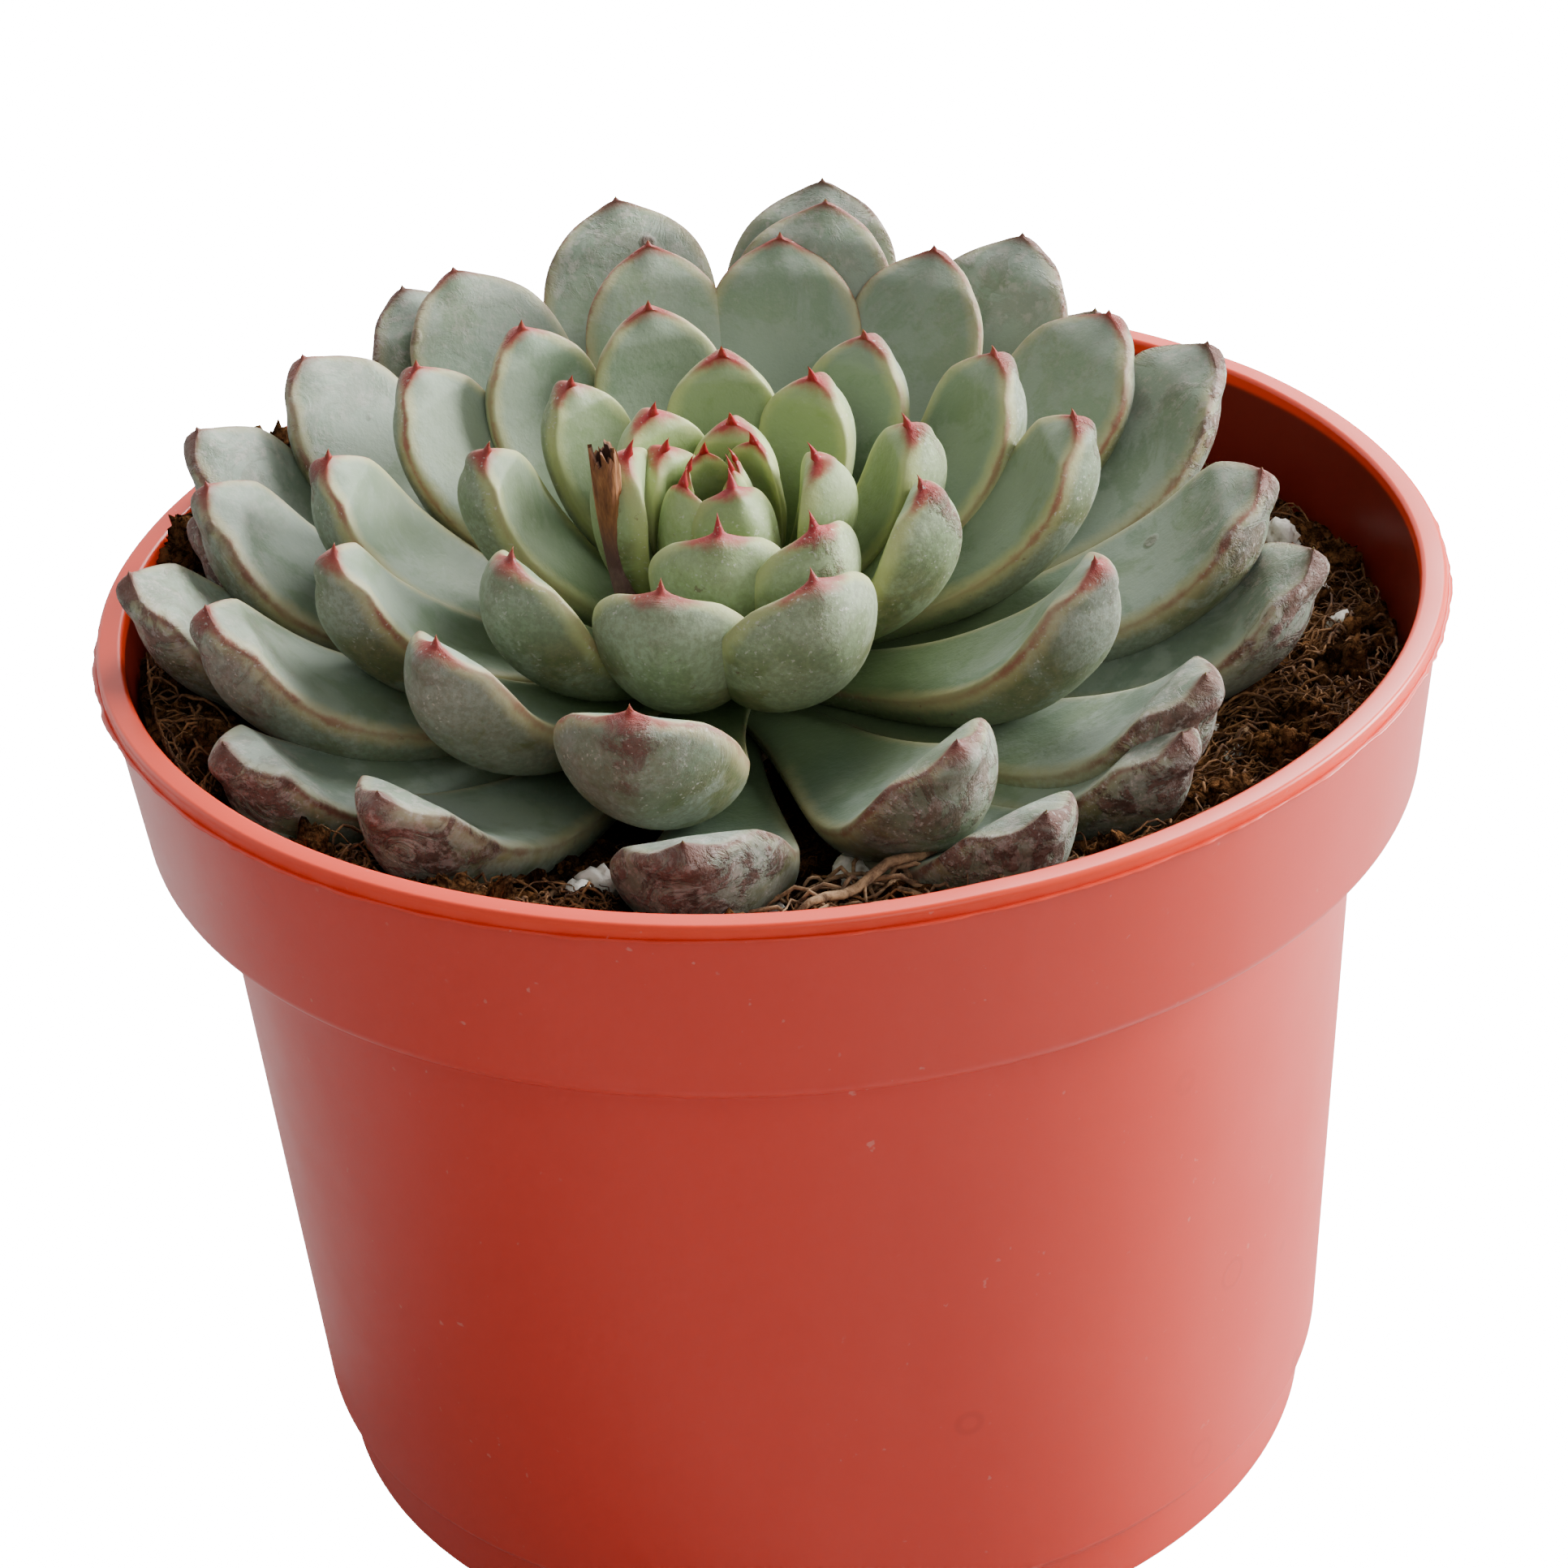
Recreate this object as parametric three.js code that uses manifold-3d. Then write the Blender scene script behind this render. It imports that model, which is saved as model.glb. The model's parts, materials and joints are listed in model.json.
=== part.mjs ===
// Potted succulent: an echeveria rosette growing in a round terracotta-coloured nursery pot.
// Millimetres, +Z up. The origin is the centre of the pot's foot, on the surface it stands on.
import * as THREE from "three";
import { mergeVertices } from "three/addons/utils/BufferGeometryUtils.js";
import Module from "manifold-3d";

// ---- Driving dimensions -------------------------------------------------------------------

const GAP = 0.3; // clearance between pieces that touch
const CUT_TOLERANCE = 0.04; // facets smaller than this are merged after a cut
const ROUND = 44; // facets round the pot and the soil

// The pot. Radii are of its outside.
const RIM_HEIGHT = 85.5; // top of the lip above the foot
const RIM_RADIUS = 60; // of the lip
const LIP_THICKNESS = 1.7;
const LIP_ROUNDING = 0.7;
const WALL = 1.5;
const COLLAR_TOP_RADIUS = 59.2; // the wide band under the lip
const COLLAR_FOOT_RADIUS = 57.6;
const COLLAR_DEPTH = 18.4; // from the top of the lip to the shoulder
const SHOULDER_ROUNDING = 1.6;
const BODY_TOP_RADIUS = 52.3; // under the shoulder
const BODY_FOOT_RADIUS = 48.2;
const FOOT_RADIUS = 46.6; // of the narrower foot ring
const FOOT_RING_TOP = 5.5; // where the foot ring starts to widen out to the body
const FOOT_FLARE_TOP = 7;
const FLOOR_UNDERSIDE = 3; // the pot stands on its foot ring, clear of its floor
const DRAIN_HOLES = 8;
const DRAIN_RADIUS = 3.5;
const DRAIN_CIRCLE = 32; // radius of the circle that the drain holes lie on

// The soil's level below the top of the lip: [share of the soil's radius, depth].
const SOIL_LEVELS = [
  [0, 18],
  [0.35, 17],
  [0.55, 15],
  [0.75, 11.5],
  [0.9, 9],
  [1, 8],
];
const GRAIN = { at: [8.4, -33, -9], size: 2.7, squash: [1.15, 0.95, 0.8] }; // perlite on the soil
const TWIG = { from: [0.5, -47, -7], to: [13, -37.5, -7.6], radius: 0.7 }; // heights from the lip

// The plant stands in a frame of its own: heights count from the lip's level, up its own axis.
const PLANT_OFFSET = [-4, -3]; // where the stem stands, off the pot's axis
const PLANT_TILT = 8; // degrees that the rosette leans towards the front
// The stem and its main root: [radius, height].
const STEM_PROFILE = [
  [0.7, -50],
  [1.6, -36],
  [3.2, -22],
  [4.4, -15],
  [4.4, -9],
  [3.4, -6],
  [2.2, -3.5],
];
// The smallest leaves at the heart, closed up over the growing point: [radius, height].
const BUD_PROFILE = [
  [1.9, -3.2],
  [3.8, 2],
  [4.9, 8],
  [3.9, 12],
  [1.6, 14],
];
const BUD_TIP = 14.6;

// The broken stub of last season's flower stalk.
const STALK = { azimuth: 172, foot: [4.6, -6], top: [10.4, 14.5], radius: 2.1, wall: 0.6, bore: 0.6 };

// One row a leaf, oldest first: azimuth in degrees, reach of the tip from the stem's axis,
// height of the tip, greatest width and, for a leaf that leans over sideways, its roll in degrees.
// Azimuth 0 is +X, 90 is +Y.
const LEAVES = [
  [210, 48, -1, 14], [264, 43.5, 4, 15, 8], [163, 47.5, 3.5, 13], [301, 46.5, 2.5, 14],
  [320, 46.5, 3.5, 13], [43, 48, 6, 14], [354, 50, 4.5, 15], [80, 52, 12, 17], [124, 50, 8.5, 15],
  [209, 47, 5.5, 14], [230, 43.5, 7.5, 16], [326, 46, 7.5, 15], [25, 48.5, 9.5, 16],
  [54, 50, 10, 16], [183, 50, 9, 15], [158, 49, 9.5, 15], [98, 50, 11.5, 17],
  [296, 39, 9.5, 15, 18], [359, 46, 10, 15.5], [78, 45.5, 13.5, 16], [143, 45.5, 10.5, 15.5],
  [120, 46, 11, 16], [194, 44, 10.5, 15], [170, 44.5, 10.5, 15], [34, 43, 11, 15.5],
  [60, 42, 11.5, 14], [97, 41, 11.5, 14], [80, 41, 11.5, 15], [256, 33, 11, 16], [333, 34, 12, 14],
  [222, 31, 12.5, 15], [192, 32.5, 12.5, 13.5], [141, 33, 12.5, 13], [166, 34, 12, 13],
  [10, 31, 12.5, 13], [123, 30, 13, 12], [32, 29, 13, 11], [101, 26.5, 13.5, 12.5],
  [54, 23, 13.5, 11], [213, 20, 13.5, 13.5], [172, 21, 13.5, 11], [254, 17.5, 13.5, 14],
  [292, 19, 14, 15, 8], [342, 17.5, 14, 12], [131, 18, 14, 9], [86, 16.5, 14, 10.5],
  [13, 16.5, 14, 9], [307, 12.5, 14, 11.5], [270, 10, 14, 11], [54, 14.5, 14, 8],
  [160, 12, 14, 8.5], [122, 9, 14.5, 7.5], [357, 8, 14.5, 8],
];

// Where each section of a leaf lies along it, and its share of the full width and thickness.
const LEAF_PROFILE = [
  [0, 0.26, 0.4],
  [0.2, 0.34, 0.56],
  [0.42, 0.58, 0.8],
  [0.62, 0.86, 1],
  [0.79, 1, 1],
  [0.92, 0.88, 0.86],
  [0.985, 0.5, 0.5],
];
const LEAF_SIDES = 8;
const LEAF_POINT = 1.2; // the small sharp point that a leaf ends in
const LEAF_HEEL = 0.5; // the low dome that closes the leaf's foot
const UPPER_SHARE = 0.2; // of a leaf's thickness that lies above its middle line
const YOUNG_FROM = 0.75; // leaves past this age, from 0 to 1, still have the pale colour of the heart

// ---- Shared helpers -----------------------------------------------------------------------

const wasm = await Module();
wasm.setup();

const { degToRad, lerp, clamp } = THREE.MathUtils;
const point = (x, y) => new THREE.Vector2(x, y);
const polar = (slope, length) => point(Math.cos(slope), Math.sin(slope)).multiplyScalar(length);

function material(color, roughness) {
  return new THREE.MeshStandardMaterial({ color, roughness, metalness: 0 });
}

const POT_PLASTIC = material("#b5483a", 0.35);
const SOIL = material("#33251a", 1);
const PERLITE = material("#e6e0d2", 0.9);
const TWIG_WOOD = material("#8a6a48", 0.9);
const STEM_BARK = material("#6b5a3c", 0.85);
const DRY_STALK = material("#7d4a2c", 0.8);
const LEAF_SKIN = material("#93a58a", 0.6);
const YOUNG_LEAF_SKIN = material("#b9c795", 0.55);

function toSolid(geometry) {
  const bare = geometry.clone().deleteAttribute("normal").deleteAttribute("uv");
  const merged = mergeVertices(bare, 1e-4);
  const mesh = new wasm.Mesh({
    numProp: 3,
    vertProperties: merged.getAttribute("position").array,
    triVerts: Uint32Array.from(merged.index.array),
  });
  return new wasm.Manifold(mesh);
}

function toGeometry(solid) {
  const mesh = solid.getMesh();
  const geometry = new THREE.BufferGeometry();
  geometry.setAttribute("position", new THREE.BufferAttribute(mesh.vertProperties, 3));
  geometry.setIndex(new THREE.BufferAttribute(mesh.triVerts, 1));
  geometry.computeVertexNormals();
  return geometry;
}

// Cuts a tool away and keeps the piece that counts when the cut leaves crumbs behind.
function cutBack(solid, tool) {
  const pieces = solid.subtract(tool).decompose();
  const largest = pieces.reduce((best, piece) => (piece.volume() > best.volume() ? piece : best));
  return toGeometry(largest.simplify(CUT_TOLERANCE));
}

// A solid of revolution about Z from a profile of [radius, height] pairs that ends on the axis.
function turned(profile, facets = ROUND) {
  const outline = profile.map(([radius, height]) => point(radius, height));
  return new THREE.LatheGeometry(outline, facets).rotateX(Math.PI / 2);
}

function addPart(group, name, geometry, skin) {
  const mesh = new THREE.Mesh(geometry, skin);
  mesh.name = name;
  group.add(mesh);
  return mesh;
}

// ---- Pot ----------------------------------------------------------------------------------

const SHOULDER = RIM_HEIGHT - COLLAR_DEPTH;
const FLOOR_TOP = FLOOR_UNDERSIDE + WALL;

// The outside of the wall at a height below the lip, on the collar or on the body.
function outsideRadius(height) {
  if (height > SHOULDER) {
    return lerp(COLLAR_FOOT_RADIUS, COLLAR_TOP_RADIUS, (height - SHOULDER) / COLLAR_DEPTH);
  }
  return lerp(BODY_FOOT_RADIUS, BODY_TOP_RADIUS, (height - FOOT_FLARE_TOP) / (SHOULDER - FOOT_FLARE_TOP));
}

// The pot's inside as [radius, height] pairs from the floor up to a height, moved in by a clearance.
function insideProfile(top, clearance) {
  const inset = WALL + clearance;
  return [
    [FOOT_RADIUS - inset, FLOOR_TOP + clearance],
    [outsideRadius(FOOT_FLARE_TOP + WALL) - inset, FOOT_FLARE_TOP + WALL],
    [BODY_TOP_RADIUS - inset, SHOULDER + WALL],
    [COLLAR_FOOT_RADIUS - inset, SHOULDER + WALL + SHOULDER_ROUNDING + clearance],
    [outsideRadius(top) - inset, top],
  ];
}

function potGeometry() {
  const lipFoot = RIM_HEIGHT - LIP_THICKNESS;
  const outside = [
    [0, FLOOR_UNDERSIDE],
    [FOOT_RADIUS - 2 * WALL, FLOOR_UNDERSIDE],
    [FOOT_RADIUS - 2 * WALL, 0],
    [FOOT_RADIUS, 0],
    [FOOT_RADIUS + 0.3, FOOT_RING_TOP],
    [BODY_FOOT_RADIUS, FOOT_FLARE_TOP],
    [BODY_TOP_RADIUS, SHOULDER],
    [COLLAR_FOOT_RADIUS - SHOULDER_ROUNDING, SHOULDER],
    [COLLAR_FOOT_RADIUS, SHOULDER + SHOULDER_ROUNDING],
    [COLLAR_TOP_RADIUS, lipFoot],
    [RIM_RADIUS, lipFoot],
    [RIM_RADIUS, RIM_HEIGHT - LIP_ROUNDING],
    [RIM_RADIUS - LIP_ROUNDING, RIM_HEIGHT],
    [COLLAR_TOP_RADIUS - WALL + LIP_ROUNDING, RIM_HEIGHT],
  ];
  const inside = insideProfile(RIM_HEIGHT - LIP_ROUNDING, 0).reverse();
  const shell = toSolid(turned([...outside, ...inside, [0, FLOOR_TOP]]));
  const drill = new THREE.CylinderGeometry(DRAIN_RADIUS, DRAIN_RADIUS, 4 * WALL, 10).rotateX(Math.PI / 2);
  const holes = Array.from({ length: DRAIN_HOLES }, (_, i) => {
    const spot = polar((2 * Math.PI * (i + 0.5)) / DRAIN_HOLES, DRAIN_CIRCLE);
    return toSolid(drill.clone().translate(spot.x, spot.y, FLOOR_UNDERSIDE + WALL / 2));
  });
  return toGeometry(shell.subtract(wasm.Manifold.union(holes)));
}

// ---- Plant --------------------------------------------------------------------------------

const stemRadiusAt = (height) => {
  const above = STEM_PROFILE.findIndex(([, level]) => level > height);
  const [upper, top] = STEM_PROFILE[above];
  const [lower, bottom] = STEM_PROFILE[above - 1];
  return lerp(lower, upper, (height - bottom) / (top - bottom));
};

function stemGeometry(grow = 0) {
  const [footRadius, foot] = STEM_PROFILE[0];
  const [, top] = STEM_PROFILE.at(-1);
  const side = STEM_PROFILE.map(([radius, height]) => [radius + grow, height]);
  return turned([[0, foot - footRadius - grow], ...side, [0, top + grow]], 12);
}

function budGeometry(grow = 0) {
  const [, foot] = BUD_PROFILE[0];
  const side = BUD_PROFILE.map(([radius, height]) => [radius + grow, height]);
  return turned([[0, foot - grow], ...side, [0, BUD_TIP + grow]], 12);
}

// Stands a shape that runs up Z from the origin between two points [reach, height] of the stalk.
function stalkPiece(radius, from, to) {
  const foot = point(...STALK.foot);
  const lean = point(...STALK.top).sub(foot);
  const length = lean.length();
  const tube = new THREE.CylinderGeometry(radius, radius, length * (to - from), 10);
  tube.rotateX(Math.PI / 2).translate(0, 0, (length * (from + to)) / 2);
  tube.rotateY(Math.PI / 2 - lean.angle()).translate(foot.x, 0, foot.y);
  return tube.rotateZ(degToRad(STALK.azimuth));
}

function stalkGeometry() {
  const outer = toSolid(stalkPiece(STALK.radius, 0, 1));
  const bore = toSolid(stalkPiece(STALK.radius - STALK.wall, STALK.bore, 1.1));
  return toGeometry(outer.subtract(bore));
}

// How a leaf leaves the stem and how it ends, from its age, 0 for the oldest to 1, and its reach.
function habit(age, reach) {
  const spread = clamp((reach - 8) / 40, 0, 1);
  const footHeight = lerp(-11.5, -4, age);
  return {
    footRadius: stemRadiusAt(footHeight) + GAP,
    footHeight,
    footSlope: degToRad(lerp(52, 6, clamp(spread * 2.2, 0, 1))),
    endSlope: degToRad(lerp(94, 48, spread ** 1.6)),
    thickness: lerp(3.2, 5.4, spread ** 0.6),
    cup: lerp(0.5, 0.12, spread),
  };
}

// The middle line of a leaf in its own upright plane: x is the distance from the stem's axis.
function spineOf(reach, rise, rules) {
  const foot = point(rules.footRadius, rules.footHeight);
  const tip = point(reach, rise).sub(polar(rules.endSlope, LEAF_POINT));
  const chord = foot.distanceTo(tip);
  const leaving = foot.clone().add(polar(rules.footSlope, 0.42 * chord));
  const arriving = tip.clone().sub(polar(rules.endSlope, 0.4 * chord));
  return new THREE.CubicBezierCurve(foot, leaving, arriving, tip);
}

// A closed leaf: the rows of a sphere become its sections, and the sphere's poles its two ends.
function leafGeometry([azimuth, reach, rise, width, roll = 0], age, grow = 0) {
  const rules = habit(age, reach);
  const spine = spineOf(reach, rise, rules);
  const rows = LEAF_PROFILE.length + 1;
  const geometry = new THREE.SphereGeometry(1, LEAF_SIDES, rows);
  const place = geometry.getAttribute("position");
  const uv = geometry.getAttribute("uv");
  for (let i = 0; i < place.count; i += 1) {
    const row = Math.round((1 - uv.getY(i)) * rows);
    const angle = -2 * Math.PI * uv.getX(i);
    const onPole = row === 0 || row === rows;
    const [along, wide, thick] = onPole ? [row / rows, 0, 0] : LEAF_PROFILE[row - 1];
    const side = Math.sin(angle);
    const share = side > 0 ? UPPER_SHARE : 1 - UPPER_SHARE;
    const across = onPole ? 0 : Math.cos(angle) * ((wide * width) / 2 + grow);
    const lift = rules.cup * wide * width * (across / width) ** 2;
    const depth = onPole ? 0 : side * (share * rules.thickness * thick + grow);
    const beyond = { 0: -LEAF_HEEL - grow, [rows]: LEAF_POINT + grow }[row] ?? 0;
    const section = point(across, depth + lift).rotateAround(point(0, 0), degToRad(roll) * along);
    const tangent = spine.getTangentAt(along);
    const normal = point(-tangent.y, tangent.x);
    const centre = spine.getPointAt(along).addScaledVector(tangent, beyond);
    centre.addScaledVector(normal, section.y);
    place.setXYZ(i, centre.x, section.x, centre.y);
  }
  return geometry.rotateZ(degToRad(azimuth));
}

// ---- Assembly -----------------------------------------------------------------------------

const root = new THREE.Group();
addPart(root, "pot", potGeometry(), POT_PLASTIC);

const plant = new THREE.Group();
plant.position.set(...PLANT_OFFSET, RIM_HEIGHT);
plant.rotation.x = degToRad(PLANT_TILT);
plant.updateMatrix();
root.add(plant);

function soilGeometry(raise = 0) {
  const [, edgeDepth] = SOIL_LEVELS.at(-1);
  const side = insideProfile(RIM_HEIGHT - edgeDepth + raise, raise > 0 ? 0 : GAP);
  const edgeRadius = side.at(-1)[0];
  const surface = SOIL_LEVELS.map(([share, depth]) => [share * edgeRadius, RIM_HEIGHT - depth + raise]);
  return turned([[0, side[0][1]], ...side.slice(0, -1), ...surface.reverse()]);
}

const rootHole = toSolid(stemGeometry(GAP).applyMatrix4(plant.matrix));
addPart(root, "soil", cutBack(toSolid(soilGeometry()), rootHole), SOIL);
addPart(plant, "stem_and_root", stemGeometry(), STEM_BARK);
addPart(plant, "heart_bud", budGeometry(), YOUNG_LEAF_SKIN);

const soilAround = toSolid(soilGeometry(GAP).applyMatrix4(plant.matrix.clone().invert()));
const taken = [soilAround, toSolid(stemGeometry(GAP)), toSolid(budGeometry(GAP))];
const stalk = cutBack(toSolid(stalkGeometry()), wasm.Manifold.union(taken));
addPart(plant, "old_flower_stalk", stalk, DRY_STALK);
taken.push(toSolid(stalkPiece(STALK.radius + GAP, -0.05, 1.05)));

// Young leaves lie over older ones, so each leaf is cut back where a younger one already is.
for (let i = LEAVES.length - 1; i >= 0; i -= 1) {
  const age = i / (LEAVES.length - 1);
  const leaf = cutBack(toSolid(leafGeometry(LEAVES[i], age)), wasm.Manifold.union(taken));
  const skin = age > YOUNG_FROM ? YOUNG_LEAF_SKIN : LEAF_SKIN;
  addPart(plant, `leaf_${String(i + 1).padStart(2, "0")}`, leaf, skin);
  taken.push(toSolid(leafGeometry(LEAVES[i], age, GAP)));
}

// Loose things on top of the soil, cut clear of it and of the plant.
const inTheWay = wasm.Manifold.union(taken).transform(plant.matrix.elements);
const grain = new THREE.IcosahedronGeometry(GRAIN.size, 1).scale(...GRAIN.squash);
grain.translate(...GRAIN.at).translate(0, 0, RIM_HEIGHT);
addPart(root, "perlite_grain", cutBack(toSolid(grain), inTheWay), PERLITE);

const twigFrom = new THREE.Vector3(...TWIG.from);
const twigTo = new THREE.Vector3(...TWIG.to);
const twig = new THREE.CylinderGeometry(TWIG.radius, TWIG.radius, twigFrom.distanceTo(twigTo), 7);
const alongTwig = twigTo.clone().sub(twigFrom).normalize();
twig.applyQuaternion(new THREE.Quaternion().setFromUnitVectors(new THREE.Vector3(0, 1, 0), alongTwig));
twig.translate(...twigFrom.lerp(twigTo, 0.5)).translate(0, 0, RIM_HEIGHT);
addPart(root, "bark_twig", cutBack(toSolid(twig), inTheWay), TWIG_WOOD);

export default root;
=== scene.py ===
"""Builds the looks of a potted succulent: pot, rosette, old flower stalk, compost and stage."""

import json
import math
import random

import bpy
import numpy as np
from bpy.props import FloatProperty, FloatVectorProperty, IntProperty, PointerProperty
from mathutils import Euler, Matrix, Vector, noise
from mathutils.bvhtree import BVHTree

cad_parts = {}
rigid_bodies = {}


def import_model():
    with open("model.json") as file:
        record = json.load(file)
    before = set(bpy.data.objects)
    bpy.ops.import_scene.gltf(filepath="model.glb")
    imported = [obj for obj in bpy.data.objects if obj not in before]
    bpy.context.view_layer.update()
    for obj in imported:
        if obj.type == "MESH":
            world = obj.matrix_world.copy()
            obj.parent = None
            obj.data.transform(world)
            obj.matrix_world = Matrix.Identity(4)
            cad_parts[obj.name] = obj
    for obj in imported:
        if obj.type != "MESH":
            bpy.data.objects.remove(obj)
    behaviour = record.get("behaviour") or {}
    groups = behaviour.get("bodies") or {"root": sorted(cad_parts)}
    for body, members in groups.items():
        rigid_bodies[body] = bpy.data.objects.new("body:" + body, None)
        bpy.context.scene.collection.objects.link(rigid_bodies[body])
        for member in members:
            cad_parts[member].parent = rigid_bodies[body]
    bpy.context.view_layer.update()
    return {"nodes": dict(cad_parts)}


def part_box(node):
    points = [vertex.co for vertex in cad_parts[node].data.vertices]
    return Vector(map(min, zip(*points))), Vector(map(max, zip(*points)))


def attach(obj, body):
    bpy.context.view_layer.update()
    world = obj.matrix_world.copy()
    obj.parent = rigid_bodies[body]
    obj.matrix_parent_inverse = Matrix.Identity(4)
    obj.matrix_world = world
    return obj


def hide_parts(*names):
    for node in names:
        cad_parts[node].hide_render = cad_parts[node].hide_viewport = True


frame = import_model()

bl_info = {
    "name": "Potted Succulent",
    "version": (1, 0, 0),
    "blender": (4, 5, 0),
    "location": "3D View > Sidebar > Succulent",
    "description": "Builds an echeveria rosette growing in a round plastic nursery pot",
    "category": "Add Mesh",
}

POT_LOW, POT_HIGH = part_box("pot")
SOIL_LOW, SOIL_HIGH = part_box("soil")
GRAIN_LOW, GRAIN_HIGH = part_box("perlite_grain")
TWIG_LOW, TWIG_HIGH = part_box("bark_twig")
MM = 0.001

# One row a leaf, oldest first: azimuth in degrees, reach of the tip from the stem's axis, height of
# the tip above the lip and greatest width in mm, and roll in degrees where a leaf leans sideways.
LEAVES = [
    (210, 48, -1, 14), (264, 43, 8, 15, 9), (163, 47.5, 3.5, 13), (301, 46.5, 6, 14),
    (320, 46.5, 5, 13), (43, 48, 6, 14), (354, 50, 4.5, 13), (77, 51, 12, 17),
    (124, 50, 8.5, 15), (209, 47, 5.5, 12.5), (230, 43.5, 7.5, 13.5), (326, 46, 7.5, 13.5),
    (25, 48.5, 9.5, 15), (54, 50, 10, 16), (183, 50, 9, 13), (158, 49, 9.5, 13.5),
    (99, 50.5, 11.5, 17), (296, 39, 9.5, 15, 18), (359, 46, 10, 14), (75, 44.5, 13.5, 16),
    (143, 45.5, 10.5, 15), (120, 46, 11, 16), (194, 44, 10.5, 12.5), (170, 44.5, 10.5, 13),
    (34, 43, 11, 15.5), (60, 42, 11.5, 14), (97, 41, 11.5, 14), (80, 41, 11.5, 15),
    (256, 32, 12, 16), (333, 34, 12, 13), (222, 31, 12.5, 13.5), (192, 32.5, 12.5, 11.5),
    (141, 33, 12.5, 12), (166, 34, 12, 11), (10, 31, 12.5, 11.5), (123, 30, 13, 12),
    (32, 29, 13, 11), (101, 26.5, 13.5, 12.5), (54, 23, 13.5, 11), (213, 20, 13.5, 12.5),
    (165, 19.5, 13.5, 9.5), (254, 17.5, 13.5, 14), (292, 19, 14, 15, 8), (342, 17.5, 14, 11),
    (131, 18, 14, 9), (86, 16.5, 14, 10.5), (13, 16.5, 14, 9), (307, 12.5, 14, 11.5),
    (270, 9.6, 14, 12), (54, 14.6, 14, 9.5), (176, 6.6, 15.4, 10), (123, 8.7, 14.5, 9.5),
    (355, 8, 14.5, 9.5),
]
# The small leaves at the heart, laid out in the same way.
HEART_LEAVES = [
    (76, 6.2, 13.8, 8), (140, 4.8, 13.6, 7.5), (290, 3.2, 14.2, 8), (222, 3.4, 14.0, 6.5),
    (45, 4.6, 13.8, 6.5), (108, 2.6, 13.6, 5.5), (186, 2.0, 14.0, 4.5), (320, 1.6, 14.2, 4), (20, 1.6, 14, 4),
]


STALK_AZIMUTH = 194  # where the old flower stalk stands round the stem, in degrees

# Tangles of coir on the compost: x, y and how far each spreads, in mm.
COIR_TUFTS = [
    (34, -33, 5), (42, -24, 5), (47, -13, 4.5), (37, -40, 4), (27, -41, 4), (50, -3, 4), (-18, -46, 4.5),
    (-28, -41, 5), (-37, -34, 4.5), (-47, 18, 5), (-52, 9, 5), (-52, -6, 4.5), (-49, -18, 4.5), (9, -47, 4),
]


# Clods of coir: x, y and size, in mm.
CLODS = [
    (-39.5, -33, 2.6), (-36, -38, 1.8), (-28, -43, 2.8), (-24, -45, 2.4), (-20, -47.5, 2.2), (-15, -49, 1.6),
    (-31, -41, 1.7), (22, -46, 2.0), (27, -43, 2.6), (32, -39, 1.8), (38, -32, 2.2), (43, -25, 2.6),
    (46, -17, 1.9), (50, -9, 2.2), (52, 12, 2.4), (46, 27, 2.2), (-52, 6, 2.6), (-50, -16, 2.2),
    (-49, 20, 3.0), (-46, 27, 2.8),
    (-50, 24, 2.2), (-52, 15, 2.6), (8, -50, 1.6), (36, -37, 1.6),
]


# ---- Settings a user would change -----------------------------------------------------------


class PotSettings(bpy.types.PropertyGroup):
    lip: FloatProperty(
        name="Lip Thickness", description="Height of the rounded lip", default=0.0014, unit="LENGTH"
    )
    collar: FloatProperty(
        name="Collar Depth", description="From the top of the lip to the shoulder",
        default=0.0184, unit="LENGTH",
    )
    wall: FloatProperty(
        name="Wall", description="Thickness of the moulding", default=0.0015, unit="LENGTH"
    )
    colour: FloatVectorProperty(
        name="Plastic", description="Colour of the plastic", default=(0.66, 0.042, 0.022), subtype="COLOR"
    )
    lip_colour: FloatVectorProperty(
        name="Lip", description="Colour of the lip, where light comes through", default=(0.80, 0.045, 0.010),
        subtype="COLOR",
    )


class PlantSettings(bpy.types.PropertyGroup):
    tilt: FloatProperty(
        name="Tilt", description="Lean of the rosette towards the front",
        default=math.radians(8), subtype="ANGLE",
    )
    offset: FloatVectorProperty(
        name="Offset", description="Where the stem stands, off the pot's axis",
        default=(-0.004, -0.003), size=2, subtype="XYZ", unit="LENGTH",
    )
    old_green: FloatVectorProperty(
        name="Old Leaf", description="Colour of the outer leaves",
        default=(0.12, 0.18, 0.125), subtype="COLOR",
    )
    green: FloatVectorProperty(
        name="Leaf", description="Colour of the leaves half way out",
        default=(0.14, 0.215, 0.12), subtype="COLOR",
    )
    young_green: FloatVectorProperty(
        name="Young Leaf", description="Colour of the leaves at the heart",
        default=(0.27, 0.37, 0.12), subtype="COLOR",
    )
    red: FloatVectorProperty(
        name="Leaf Tip", description="Colour of the sharp tips", default=(0.33, 0.011, 0.018), subtype="COLOR"
    )


class SoilSettings(bpy.types.PropertyGroup):
    crumbs: IntProperty(name="Crumbs", description="Loose crumbs of compost", default=3600, min=0)
    fibres: IntProperty(name="Fibres", description="Strands of coir", default=2400, min=0)
    seed: IntProperty(name="Seed", description="Changes how the litter falls", default=4)


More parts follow.
